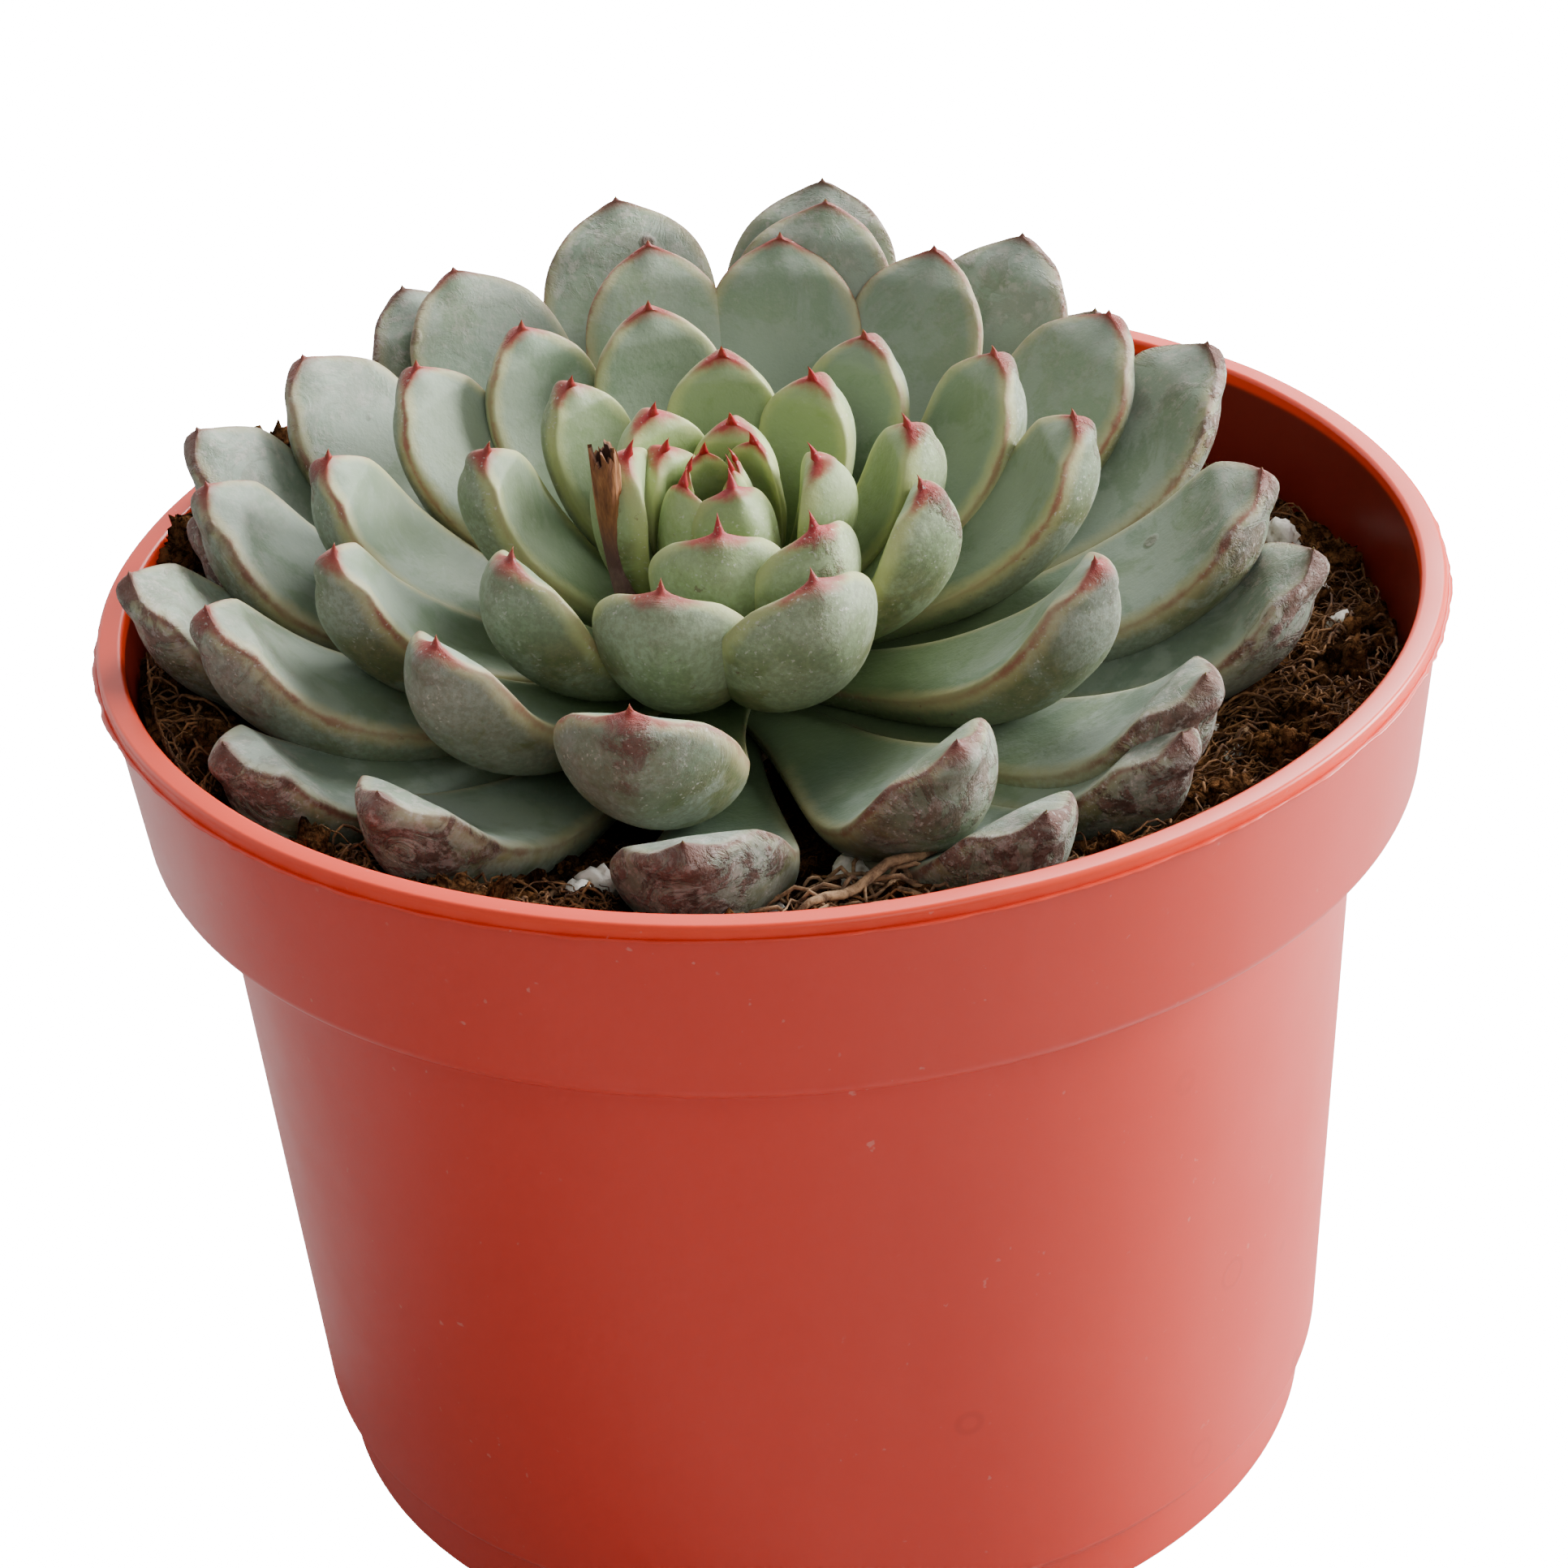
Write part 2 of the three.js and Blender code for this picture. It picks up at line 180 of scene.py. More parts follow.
class StageSettings(bpy.types.PropertyGroup):
    distance: FloatProperty(
        name="Distance", description="From the camera to the middle of the lip", default=0.3894, unit="LENGTH"
    )
    elevation: FloatProperty(
        name="Elevation", description="Height of the view above level",
        default=math.radians(26.98), subtype="ANGLE",
    )
    tip: FloatProperty(
        name="Tip", description="How far the camera looks below the lip",
        default=math.radians(2.81), subtype="ANGLE",
    )
    roll: FloatProperty(
        name="Roll", description="Turn of the camera about its view",
        default=math.radians(4.12), subtype="ANGLE",
    )
    lens: FloatProperty(name="Lens", description="Focal length in mm", default=100)
    ambient: FloatProperty(name="Ambient", description="Light that the white room sheds", default=0.24)
    reflected: FloatProperty(
        name="Reflected", description="Brightness of the room in reflections", default=1.7
    )
    background: FloatProperty(
        name="Background", description="Brightness of the room behind the plant", default=20
    )


# ---- Helpers: objects -----------------------------------------------------------------------


def deselect():
    if bpy.context.object and bpy.context.object.mode != "OBJECT":
        bpy.ops.object.mode_set(mode="OBJECT")
    bpy.ops.object.select_all(action="DESELECT")


def settle(piece, name, node=None):
    """Puts a finished piece's place into its mesh and ties the piece to the frame."""
    deselect()
    piece.select_set(True)
    bpy.context.view_layer.objects.active = piece
    bpy.ops.object.transform_apply(location=True, rotation=True, scale=True)
    piece.name = name
    piece.data.name = name
    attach(piece, "root")
    if node:
        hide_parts(node)
    return piece


def join(pieces):
    deselect()
    for piece in pieces:
        piece.select_set(True)
    bpy.context.view_layer.objects.active = pieces[0]
    if len(pieces) > 1:
        bpy.ops.object.join()
    return pieces[0]


def apply_modifiers(piece):
    deselect()
    piece.select_set(True)
    bpy.context.view_layer.objects.active = piece
    for modifier in list(piece.modifiers):
        bpy.ops.object.modifier_apply(modifier=modifier.name)


def paint(piece, material):
    piece.data.materials.clear()
    piece.data.materials.append(material)


def corners(piece):
    place = np.empty(len(piece.data.vertices) * 3)
    piece.data.vertices.foreach_get("co", place)
    return place.reshape(-1, 3)


def move_corners(piece, place):
    piece.data.vertices.foreach_set("co", np.ascontiguousarray(place, dtype=float).ravel())
    piece.data.update()


def store(piece, name, values):
    layer = piece.data.attributes.new(name, "FLOAT", "POINT")
    layer.data.foreach_set("value", np.ascontiguousarray(values, dtype=np.float32))


def smoothstep(low, high, value):
    share = np.clip((value - low) / (high - low), 0, 1)
    return share * share * (3 - 2 * share)


def rounded(outline):
    """An outline of (radius, height, rounding) corners as points, with an arc at each rounded corner."""
    points = []
    for i, (wide, high, rounding) in enumerate(outline):
        here = Vector((wide, high))
        if rounding == 0 or i in (0, len(outline) - 1):
            points.append(here)
            continue
        back = (Vector(outline[i - 1][:2]) - here).normalized()
        ahead = (Vector(outline[i + 1][:2]) - here).normalized()
        half = back.angle(ahead) / 2
        start = here + back * (rounding / math.tan(half))
        end = here + ahead * (rounding / math.tan(half))
        middle = here + (back + ahead).normalized() * (rounding / math.sin(half))
        steps = 3 + int((math.pi - 2 * half) / 0.3)
        sweep = (start - middle).angle_signed(end - middle)
        for k in range(steps + 1):
            points.append(middle + Matrix.Rotation(-sweep * k / steps, 2) @ (start - middle))
    return points


def turned(name, points, segments):
    """Turns an outline round Z: one ring is added, then drawn out along the outline in edit mode."""
    deselect()
    wide, high = points[0]
    bpy.ops.mesh.primitive_circle_add(vertices=segments, radius=wide, location=(0, 0, 0))
    piece = bpy.context.object
    bpy.ops.object.mode_set(mode="EDIT")
    bpy.ops.mesh.select_all(action="SELECT")
    bpy.ops.transform.translate(value=(0, 0, high))
    for radius, height in points[1:]:
        bpy.ops.mesh.extrude_edges_move(TRANSFORM_OT_translate={"value": (0, 0, height - high)})
        scale = radius / wide
        bpy.ops.transform.resize(value=(scale, scale, 1), center_override=(0, 0, height))
        wide, high = radius, height
    bpy.ops.object.mode_set(mode="OBJECT")
    piece.name = name
    return piece


def close_ends(piece):
    """Fills the open rings of a turned piece and turns its faces outwards."""
    deselect()
    bpy.context.view_layer.objects.active = piece
    bpy.ops.object.mode_set(mode="EDIT")
    bpy.ops.mesh.select_mode(type="EDGE")
    bpy.ops.mesh.select_all(action="DESELECT")
    bpy.ops.mesh.select_non_manifold()
    bpy.ops.mesh.edge_face_add()
    bpy.ops.mesh.select_all(action="SELECT")
    bpy.ops.mesh.normals_make_consistent(inside=False)
    bpy.ops.object.mode_set(mode="OBJECT")


# ---- Helpers: materials ---------------------------------------------------------------------


class Finish:
    """A material's node tree, written one call a node. Each call gives back the node's output."""

    def __init__(self, name):
        self.material = bpy.data.materials.new(name)
        self.material.use_nodes = True
        self.tree = self.material.node_tree
        self.shader = self.tree.nodes["Principled BSDF"]
        self.place = self.node("ShaderNodeTexCoord", output="Object")

    def node(self, kind, inputs=None, output=0, **settings):
        made = self.tree.nodes.new(kind)
        for setting, value in settings.items():
            setattr(made, setting, value)
        for socket, value in (inputs or {}).items():
            self.set(made.inputs[socket], value)
        return made.outputs[output]

    def set(self, socket, value):
        if isinstance(value, bpy.types.NodeSocket):
            self.tree.links.new(value, socket)
        elif socket.type == "RGBA" and len(value) == 3:
            socket.default_value = (*value, 1)
        else:
            socket.default_value = value

    def attribute(self, name):
        return self.node("ShaderNodeAttribute", output="Fac", attribute_name=name)

    def ramp(self, value, low, high, start=0.0, end=1.0):
        """Eases from start to end as value goes from low to high."""
        inputs = {"Value": value, "From Min": low, "From Max": high, "To Min": start, "To Max": end}
        return self.node("ShaderNodeMapRange", inputs, interpolation_type="SMOOTHSTEP")

    def maths(self, operation, first, second=0.0, clamp=False):
        return self.node("ShaderNodeMath", {0: first, 1: second}, operation=operation, use_clamp=clamp)

    def times(self, *values):
        product = values[0]
        for value in values[1:]:
            product = self.maths("MULTIPLY", product, value)
        return product

    def mix(self, share, first, second, blend="MIX"):
        """Goes from the first colour to the second by share."""
        inputs = {0: share, 6: first, 7: second}
        return self.node("ShaderNodeMix", inputs, output=2, data_type="RGBA", blend_type=blend)

    def noise(self, scale, detail=4.0, roughness=0.55, stretch=None, vector=None, distortion=0.0):
        vector = vector or self.place
        if stretch:
            vector = self.node("ShaderNodeMapping", {"Vector": vector, "Scale": stretch})
        inputs = {
            "Vector": vector, "Scale": scale, "Detail": detail, "Roughness": roughness, "Distortion": distortion
        }
        return self.node("ShaderNodeTexNoise", inputs)

    def cells(self, scale, output="Distance", feature="F1", vector=None, randomness=1.0):
        inputs = {"Vector": vector or self.place, "Scale": scale, "Randomness": randomness}
        return self.node("ShaderNodeTexVoronoi", inputs, output=output, feature=feature)

    def bump(self, height, strength, distance, under=None):
        inputs = {"Height": height, "Strength": strength, "Distance": distance}
        if under is not None:
            inputs["Normal"] = under
        return self.node("ShaderNodeBump", inputs)

    def finish(self, colour, roughness, normal=None, **values):
        """Joins the colour, roughness and bumps to the shader; the rest are plain values on it."""
        self.set(self.shader.inputs["Base Color"], colour)
        self.set(self.shader.inputs["Roughness"], roughness)
        if normal is not None:
            self.set(self.shader.inputs["Normal"], normal)
        for socket, value in values.items():
            self.set(self.shader.inputs[socket.replace("_", " ")], value)
        return self.material


def plastic_finish(settings):
    f = Finish("pot_plastic")
    height = f.node("ShaderNodeSeparateXYZ", {0: f.place}, output="Z")
    cloud = f.noise(22, 5, 0.6)
    drawn = f.noise(34, 4, 0.6, stretch=(1, 1, 0.16))
    colour = f.mix(f.ramp(cloud, 0.35, 0.7, 0, 0.35), settings.colour, Vector(settings.colour) * 0.82)
    colour = f.mix(f.ramp(drawn, 0.5, 0.75, 0, 0.16), colour, (0.66, 0.085, 0.055))
    # Painted light: the lip is painted brighter, where light comes through the thin plastic.
    lip = f.ramp(height, POT_HIGH[2] - 1.7 * MM, POT_HIGH[2] - 0.9 * MM)
    colour = f.mix(lip, colour, settings.lip_colour)
    dust = f.noise(900, 2, 0.5)
    patch = f.noise(48, 3, 0.6)
    dusty = f.times(f.ramp(dust, 0.70, 0.76), f.ramp(patch, 0.5, 0.62, 0.02, 0.8))
    colour = f.mix(f.times(dusty, 0.35), colour, (0.70, 0.42, 0.36))
    ring = f.cells(150)
    spot_here = f.ramp(f.cells(150, output="Color"), 0.80, 0.86)
    drops = f.times(f.ramp(ring, 0.16, 0.2), f.ramp(ring, 0.28, 0.22), spot_here)
    colour = f.mix(f.times(drops, 0.22), colour, Vector(settings.colour) * 0.45)
    # Painted shade inside the pot, with some compost stain: whatever lies within the middle of the collar's
    # wall is painted darker.
    axis = f.node("ShaderNodeVectorMath", {0: f.place, 1: (1, 1, 0)}, operation="MULTIPLY")
    reach = f.node("ShaderNodeVectorMath", {0: axis}, output="Value", operation="LENGTH")
    shoulder = POT_HIGH[2] - settings.collar
    flare = f.times(f.maths("SUBTRACT", height, shoulder), 0.1)
    within = f.ramp(f.maths("SUBTRACT", reach, flare), 56.9 * MM, 56.5 * MM)
    inside = f.times(within, f.ramp(height, shoulder + 0.5 * MM, shoulder + 1 * MM), f.ramp(lip, 0, 1, 1, 0))
    # Painted shade and stain: the inner wall is darkened to a sixth of the plastic's colour.
    colour = f.mix(f.times(inside, 0.9), colour, Vector(settings.colour) * 0.16)
    grain = f.noise(2600, 2, 0.5)
    waves = f.noise(30, 2, 0.5)
    normal = f.bump(waves, 0.12, 1.5 * MM)
    normal = f.bump(grain, 0.05, 0.1 * MM, normal)
    normal = f.bump(f.maths("ADD", dusty, drops), 0.12, 0.08 * MM, normal)
    roughness = f.maths("ADD", f.ramp(cloud, 0.3, 0.75, 0.3, 0.42), f.times(dusty, 0.2))
    return f.finish(colour, roughness, normal, Specular_IOR_Level=0.36, Subsurface_Weight=0.08,
                    Subsurface_Radius=(1.0, 0.25, 0.12), Subsurface_Scale=0.0015)


def leaf_finish(settings):
    f = Finish("leaf_skin")
    along = f.attribute("along")
    upper = f.attribute("upper")
    rim = f.attribute("rim_mm")
    tip = f.attribute("tip_mm")
    age = f.attribute("age")
    seed = f.attribute("seed")
    middle = f.attribute("middle")
    broad = f.noise(70, 3, 0.5)
    blotch = f.noise(150, 5, 0.62)
    fine = f.noise(520, 5, 0.65)
    grains = f.noise(2600, 2, 0.5)
    below = f.ramp(upper, 0.25, -0.15)

    # Green: powdery grey-green outside, yellow-green at the heart, deeper towards each leaf's foot, where the
    # darker green is partly painted shade between the leaves.
    green = f.mix(f.ramp(age, 0.15, 0.6), settings.old_green, settings.green)
    green = f.mix(f.ramp(age, 0.72, 1.0), green, settings.young_green)
    green = f.mix(f.ramp(broad, 0.35, 0.7, 0, 0.5), green, (0.20, 0.26, 0.10))
    # Painted shade between the leaves, over the foot's own deeper green: the foot is painted dark.
    foot = f.mix(f.ramp(age, 0.3, 0.9), (0.05, 0.075, 0.03), (0.10, 0.16, 0.045))
    green = f.mix(f.ramp(f.maths("ADD", along, f.times(blotch, 0.2)), 0.8, 0.3, 0, 0.85), green, foot)

    # Wax: the pale powder that covers all but the foot, rubbed off in patches on the back.
    rubbed = f.ramp(f.noise(120, 6, 0.68, distortion=0.5), 0.40, 0.56)
    keel = f.ramp(f.maths("ADD", middle, f.times(blotch, 0.6)), 0.45, 0.95)
    bare = f.times(below, f.ramp(tip, 3, 7), f.ramp(tip, 17, 10), f.ramp(rubbed, 0, 1, 1, 0.25))
    wax = f.mix(f.ramp(age, 0.6, 1.0), (0.355, 0.405, 0.345), (0.41, 0.50, 0.28))
    upper_powder = f.ramp(age, 0.2, 0.9, 0.66, 0.42)
    powder = f.times(
        f.ramp(along, 0.35, 0.75), f.ramp(rubbed, 0, 1, 0.45, 1), f.ramp(below, 0, 1, upper_powder, 0.72)
    )
    colour = f.mix(powder, green, wax)
    olive = f.mix(f.ramp(fine, 0.42, 0.6), (0.12, 0.135, 0.04), (0.21, 0.20, 0.09))
    colour = f.mix(f.times(bare, f.ramp(keel, 0, 1, 0.25, 0.8)), colour, olive)

    frost = f.ramp(f.noise(1700, 4, 0.75), 0.40, 0.62, 1, 0)
    frosted = f.times(below, frost, f.ramp(age, 1.0, 0.8, 0.15, 0.42))
    colour = f.mix(frosted, colour, (0.13, 0.14, 0.085))

    # Margin: a cream band, then a thin blushing edge.
    wander = f.times(f.maths("SUBTRACT", fine, 0.5), 1.4)
    rim = f.maths("ADD", rim, wander)
    band = f.times(f.ramp(rim, 1.8, 0.3), f.ramp(along, 0.2, 0.55), f.ramp(age, 0.0, 0.7, 0.3, 0.7))
    colour = f.mix(band, colour, f.mix(f.ramp(age, 0.5, 0.9), (0.52, 0.45, 0.23), (0.50, 0.54, 0.22)))
    near_tip = f.ramp(tip, 22, 3)
    pale_edge = f.ramp(age, 0.6, 0.85, 1.0, 0.04)
    blush = f.times(
        f.ramp(rim, 0.62, 0.0), f.ramp(near_tip, 0, 1, 0.25, 0.9), f.ramp(blotch, 0.35, 0.6, 0.4, 1), pale_edge
    )
    tip_flush = f.times(f.ramp(tip, 1.2, 0.1), f.ramp(rim, 1.2, 0.2), f.ramp(age, 0.2, 0.5))
    blush = f.maths("MAXIMUM", blush, f.times(tip_flush, 0.8))
    blush_red = f.mix(f.ramp(age, 0.1, 0.7), (0.17, 0.06, 0.04), (0.29, 0.085, 0.06))
    colour = f.mix(blush, colour, blush_red)

    # Tip: a red-brown stain that breaks up as it runs down the back, wide and mauve on old leaves.
    ragged = f.times(f.maths("SUBTRACT", f.noise(260, 6, 0.7), 0.5), 16)
    tip_noise = f.maths("ADD", tip, ragged)
    drop = f.maths("ADD", f.maths("ADD", middle, f.times(tip, 0.075)), f.times(ragged, 0.09))
    torn = f.ramp(f.noise(340, 6, 0.72, distortion=0.8), 0.42, 0.58, 0.12, 1)
    streak = f.times(
        f.ramp(drop, 0.44, 0.26), below, torn, f.ramp(seed, 0.2, 0.9, 0.2, 0.9),
        f.ramp(fine, 0.3, 0.55, 0.55, 1), f.ramp(age, 0.99, 0.9),
    )
    colour = f.mix(streak, colour, f.mix(fine, (0.05, 0.018, 0.016), (0.21, 0.085, 0.07)))
    oldness = f.ramp(age, 0.66, 0.16)
    streaky = f.ramp(f.noise(190, 6, 0.7, distortion=1.2), 0.46, 0.55, 0.1, 1)
    stain = f.times(f.ramp(tip_noise, 9, 5), oldness, f.ramp(upper, 0.55, 0.0, 0.25, 0.9), streaky)
    mauve = f.mix(f.ramp(f.noise(420, 5, 0.7), 0.42, 0.6), (0.17, 0.092, 0.072), (0.06, 0.022, 0.014))
    colour = f.mix(stain, colour, mauve)
    ash = f.times(f.ramp(f.noise(800, 5, 0.72), 0.5, 0.62), f.ramp(tip_noise, 11, 4), oldness)
    colour = f.mix(f.times(ash, 0.55), colour, (0.46, 0.42, 0.37))
    point = f.mix(f.ramp(age, 0.2, 0.6), (0.12, 0.05, 0.035), (0.27, 0.035, 0.028))
    point = f.mix(f.ramp(age, 0.75, 0.98), point, settings.red)
    colour = f.mix(f.ramp(f.maths("ADD", tip, f.times(wander, 0.6)), 0.8, -0.1), colour, point)

    # Scars, speckles and dust.
    scar = f.times(
        f.ramp(f.cells(230), 0.22, 0.12), f.ramp(f.cells(230, output="Color"), 0.84, 0.88),
        f.ramp(age, 1.0, 0.3),
    )
    colour = f.mix(f.times(scar, 0.7), colour, (0.10, 0.035, 0.025))
    speckle = f.times(f.ramp(f.noise(1100, 3, 0.6), 0.66, 0.72), f.ramp(broad, 0.5, 0.62), below)
    colour = f.mix(f.times(speckle, 0.6), colour, (0.13, 0.06, 0.05))
    dust = f.times(
        f.ramp(grains, 0.62, 0.70), f.ramp(blotch, 0.4, 0.6), f.ramp(tip, 16, 4, 0.25, 1),
        f.ramp(below, 0, 1, 0.15, 1),
    )
    colour = f.mix(f.times(dust, 0.5), colour, (0.70, 0.68, 0.60))
    shade = f.maths("ADD", 0.86, f.times(seed, 0.2))
    colour = f.mix(1.0, colour, f.node("ShaderNodeCombineColor", {0: shade, 1: shade, 2: shade}), "MULTIPLY")

    normal = f.bump(blotch, 0.35, 0.6 * MM)
    normal = f.bump(fine, 0.3, 0.22 * MM, normal)
    normal = f.bump(grains, 0.3, 0.06 * MM, normal)
    crust = f.times(f.noise(900, 5, 0.7), f.maths("ADD", stain, f.maths("ADD", scar, streak)))
    normal = f.bump(crust, 0.8, 0.4 * MM, normal)
    roughness = f.maths("ADD", f.ramp(powder, 0, 0.7, 0.42, 0.62), f.times(stain, 0.1))
    return f.finish(colour, roughness, normal, Specular_IOR_Level=0.35, Subsurface_Weight=0.08,
                    Subsurface_Radius=(0.8, 1.0, 0.3), Subsurface_Scale=0.0018)


def stalk_finish():
    f = Finish("dry_stalk")
    height = f.attribute("along")
    strands = f.noise(800, 4, 0.65, stretch=(1, 1, 0.12))
    patches = f.noise(260, 4, 0.6)
    bark = f.mix(f.ramp(strands, 0.35, 0.65), (0.12, 0.045, 0.022), (0.34, 0.14, 0.055))
    base = f.mix(f.ramp(patches, 0.4, 0.65), (0.11, 0.055, 0.05), (0.21, 0.12, 0.11))
    colour = f.mix(f.ramp(height, 0.75, 0.5), bark, base)
    pale = f.times(f.ramp(height, 0.8, 1.0), f.ramp(strands, 0.5, 0.68))
    colour = f.mix(f.times(pale, 0.7), colour, (0.50, 0.27, 0.13))
    # Painted shade: the inside of the hollow is painted near-black.
    colour = f.mix(f.attribute("inside"), colour, (0.045, 0.018, 0.01))
    normal = f.bump(strands, 0.8, 0.4 * MM)
    return f.finish(colour, 0.75, normal, Specular_IOR_Level=0.3)


def bark_finish(name, dark, light):
    f = Finish(name)
    strands = f.noise(700, 5, 0.7, distortion=0.4)
    patches = f.noise(160, 3, 0.6)
    colour = f.mix(f.ramp(strands, 0.35, 0.68), dark, light)
    colour = f.mix(f.ramp(patches, 0.45, 0.7, 0, 0.6), colour, Vector(dark) * 0.7)
    normal = f.bump(strands, 0.7, 0.3 * MM)
    return f.finish(colour, 0.85, normal, Specular_IOR_Level=0.25)


def soil_finish():
    f = Finish("compost_mix")
    lumps = f.noise(190, 6, 0.72)
    fine = f.noise(800, 6, 0.75, distortion=0.8)
    dark = f.mix(f.ramp(fine, 0.42, 0.64), (0.007, 0.0035, 0.002), (0.075, 0.036, 0.017))
    coir = f.mix(f.ramp(fine, 0.40, 0.60), (0.035, 0.014, 0.006), (0.27, 0.12, 0.045))
    colour = f.mix(f.ramp(f.maths("ADD", lumps, f.times(f.attribute("dry"), 0.4)), 0.55, 0.85), dark, coir)
    crumbs = f.noise(1500, 4, 0.7)
    normal = f.bump(fine, 1.0, 1.2 * MM)
    normal = f.bump(crumbs, 0.8, 0.4 * MM, normal)
    return f.finish(colour, 0.95, normal, Specular_IOR_Level=0.0)


def perlite_finish():
    f = Finish("perlite")
    pits = f.cells(900)
    grain = f.noise(700, 5, 0.7)
    colour = f.mix(f.ramp(pits, 0.05, 0.4), (0.40, 0.35, 0.27), (0.82, 0.79, 0.71))
    colour = f.mix(f.ramp(f.noise(220, 3, 0.6), 0.52, 0.7, 0, 0.6), colour, (0.42, 0.33, 0.22))
    normal = f.bump(pits, 0.7, 0.35 * MM)
    normal = f.bump(grain, 0.6, 0.3 * MM, normal)
    return f.finish(colour, 0.9, normal, Subsurface_Weight=0.1, Subsurface_Radius=(1, 0.95, 0.85),
                    Subsurface_Scale=0.001)


# ---- Pot ------------------------------------------------------------------------------------


def cut_holes(pot, count, circle, radius, height):
    """Drills the ring of drain holes through the floor."""
    drills = []
    for k in range(count):
        deselect()
        turn = 2 * math.pi * (k + 0.5) / count
        place = (circle * math.cos(turn), circle * math.sin(turn), height)
        bpy.ops.mesh.primitive_cylinder_add(vertices=32, radius=radius, depth=8 * MM, location=place)
        drills.append(bpy.context.object)
    drill = join(drills)
    cut = pot.modifiers.new("drain_holes", "BOOLEAN")
    cut.operation = "DIFFERENCE"
    cut.object = drill
    cut.solver = "EXACT"
    apply_modifiers(pot)
    bpy.data.objects.remove(drill)


def make_pot(settings):
    top = POT_HIGH[2]
    radius = POT_HIGH[0]
    wall = settings.wall
    shoulder = top - settings.collar
    outline = [
        (1 * MM, 3 * MM, 0), (43.6 * MM, 3 * MM, 0.6 * MM), (43.6 * MM, 0, 0.35 * MM), (46.6 * MM, 0, 0.5 * MM),
        (46.9 * MM, 5.5 * MM, 0.6 * MM), (48.2 * MM, 7 * MM, 0.8 * MM), (52.3 * MM, shoulder, 0.7 * MM),
        (57.6 * MM, shoulder, 1.7 * MM), (radius - 0.5 * MM, top - settings.lip, 0.12 * MM),
        (radius, top - settings.lip, 0.12 * MM), (radius, top, 0.5 * MM),
        (radius - 2.3 * MM, top, 0.5 * MM), (55.9 * MM, shoulder + wall + 0.9 * MM, 1.2 * MM),
        (52.3 * MM - wall, shoulder + wall, 1.2 * MM), (48.2 * MM - wall, 7 * MM + wall, 0.6 * MM),
        (45.3 * MM, 3 * MM + wall, 1.2 * MM), (1 * MM, 3 * MM + wall, 0),
    ]
    pot = turned("pot_shell", rounded(outline), 192)
    close_ends(pot)
    cut_holes(pot, 8, 32 * MM, 3.5 * MM, 4 * MM)
    place = corners(pot)
    around = np.arctan2(place[:, 1], place[:, 0])
    sag = 0.12 * MM * np.sin(3 * around + 0.6) + 0.08 * MM * np.sin(7 * around)
    under_lip = smoothstep(shoulder, shoulder + 4 * MM, place[:, 2])
    near_rim = smoothstep(top - 8 * MM, top, place[:, 2])
    place[:, 2] -= np.abs(sag) * near_rim * under_lip
    move_corners(pot, place)
    deselect()
    pot.select_set(True)
    bpy.context.view_layer.objects.active = pot
    bpy.ops.object.shade_smooth_by_angle(angle=math.radians(40))
    plastic = plastic_finish(settings)
    paint(pot, plastic)
    settle(pot, "pot_shell", "pot")
    make_flash(settings, plastic)


def make_flash(settings, plastic):
    """The thin ragged fin that the mould leaves under the lip."""
    base = POT_HIGH[0] - 0.15 * MM
    high = POT_HIGH[2] - settings.lip
    outline = [
        (base, high + 0.16 * MM), (base + 0.5 * MM, high + 0.05 * MM), (base + 0.52 * MM, high - 0.05 * MM),
        (base, high - 0.2 * MM),
    ]
    fin = turned("lip_flash", [Vector(p) for p in outline], 720)
    bpy.ops.object.mode_set(mode="EDIT")
    bpy.ops.mesh.select_mode(type="EDGE")
    bpy.ops.mesh.select_all(action="DESELECT")
    bpy.ops.mesh.select_non_manifold()
    bpy.ops.mesh.bridge_edge_loops()
    bpy.ops.mesh.select_all(action="SELECT")
    bpy.ops.mesh.normals_make_consistent(inside=False)
    bpy.ops.object.mode_set(mode="OBJECT")
    place = corners(fin)
    reach = np.hypot(place[:, 0], place[:, 1])
    ragged = np.array([noise.noise(Vector(p) * 260) + 0.6 * noise.noise(Vector(p) * 900) for p in place])
    proud = smoothstep(base, base + 0.5 * MM, reach) * np.clip(ragged, -0.5, 0.6) * 0.24 * MM
    place[:, :2] *= (1 + proud / reach)[:, None]
    move_corners(fin, place)
    bpy.ops.object.shade_smooth()
    paint(fin, plastic)
    settle(fin, "lip_flash")


# ---- Rosette --------------------------------------------------------------------------------


def plant_frame(settings):
    """Where the rosette's own frame stands: the stem's axis, with heights counted from the lip."""
    place = Matrix.Translation((settings.offset[0], settings.offset[1], POT_HIGH[2]))
    return place @ Matrix.Rotation(settings.tilt, 4, "X")


def midline(reach, rise, age):
    """Points along a leaf's middle in its upright plane, evenly spaced, in mm."""
    spread = min(max((reach - 8) / 40, 0), 1)
    foot_height = -11.5 + 7.5 * age
    foot_radius = np.interp(foot_height, [-15, -9, -6, -3.5], [4.4, 4.4, 3.4, 2.2]) + 0.3
    foot_slope = math.radians(52 - 46 * min(spread * 2.2, 1))
    end_slope = math.radians(98 - 28 * spread**1.6)
    end = np.array([math.cos(end_slope), math.sin(end_slope)])
    foot = np.array([foot_radius, foot_height])
    tip = np.array([reach, rise]) - 1.2 * end
    chord = np.linalg.norm(tip - foot)
    leaving = foot + 0.42 * chord * np.array([math.cos(foot_slope), math.sin(foot_slope)])
    arriving = tip - 0.36 * chord * end
    t = np.linspace(0, 1, 400)[:, None]
    curve = (1 - t) ** 3 * foot + 3 * (1 - t) ** 2 * t * leaving + 3 * (1 - t) * t**2 * arriving + t**3 * tip
    run = np.concatenate([[0], np.cumsum(np.linalg.norm(np.diff(curve, axis=0), axis=1))])
    even = np.linspace(0, run[-1], 400)
    curve = np.stack([np.interp(even, run, curve[:, k]) for k in (0, 1)], 1)
    return curve, run[-1]


POINT_FROM = 0.93  # share of the blank's length past which it is the leaf's sharp point


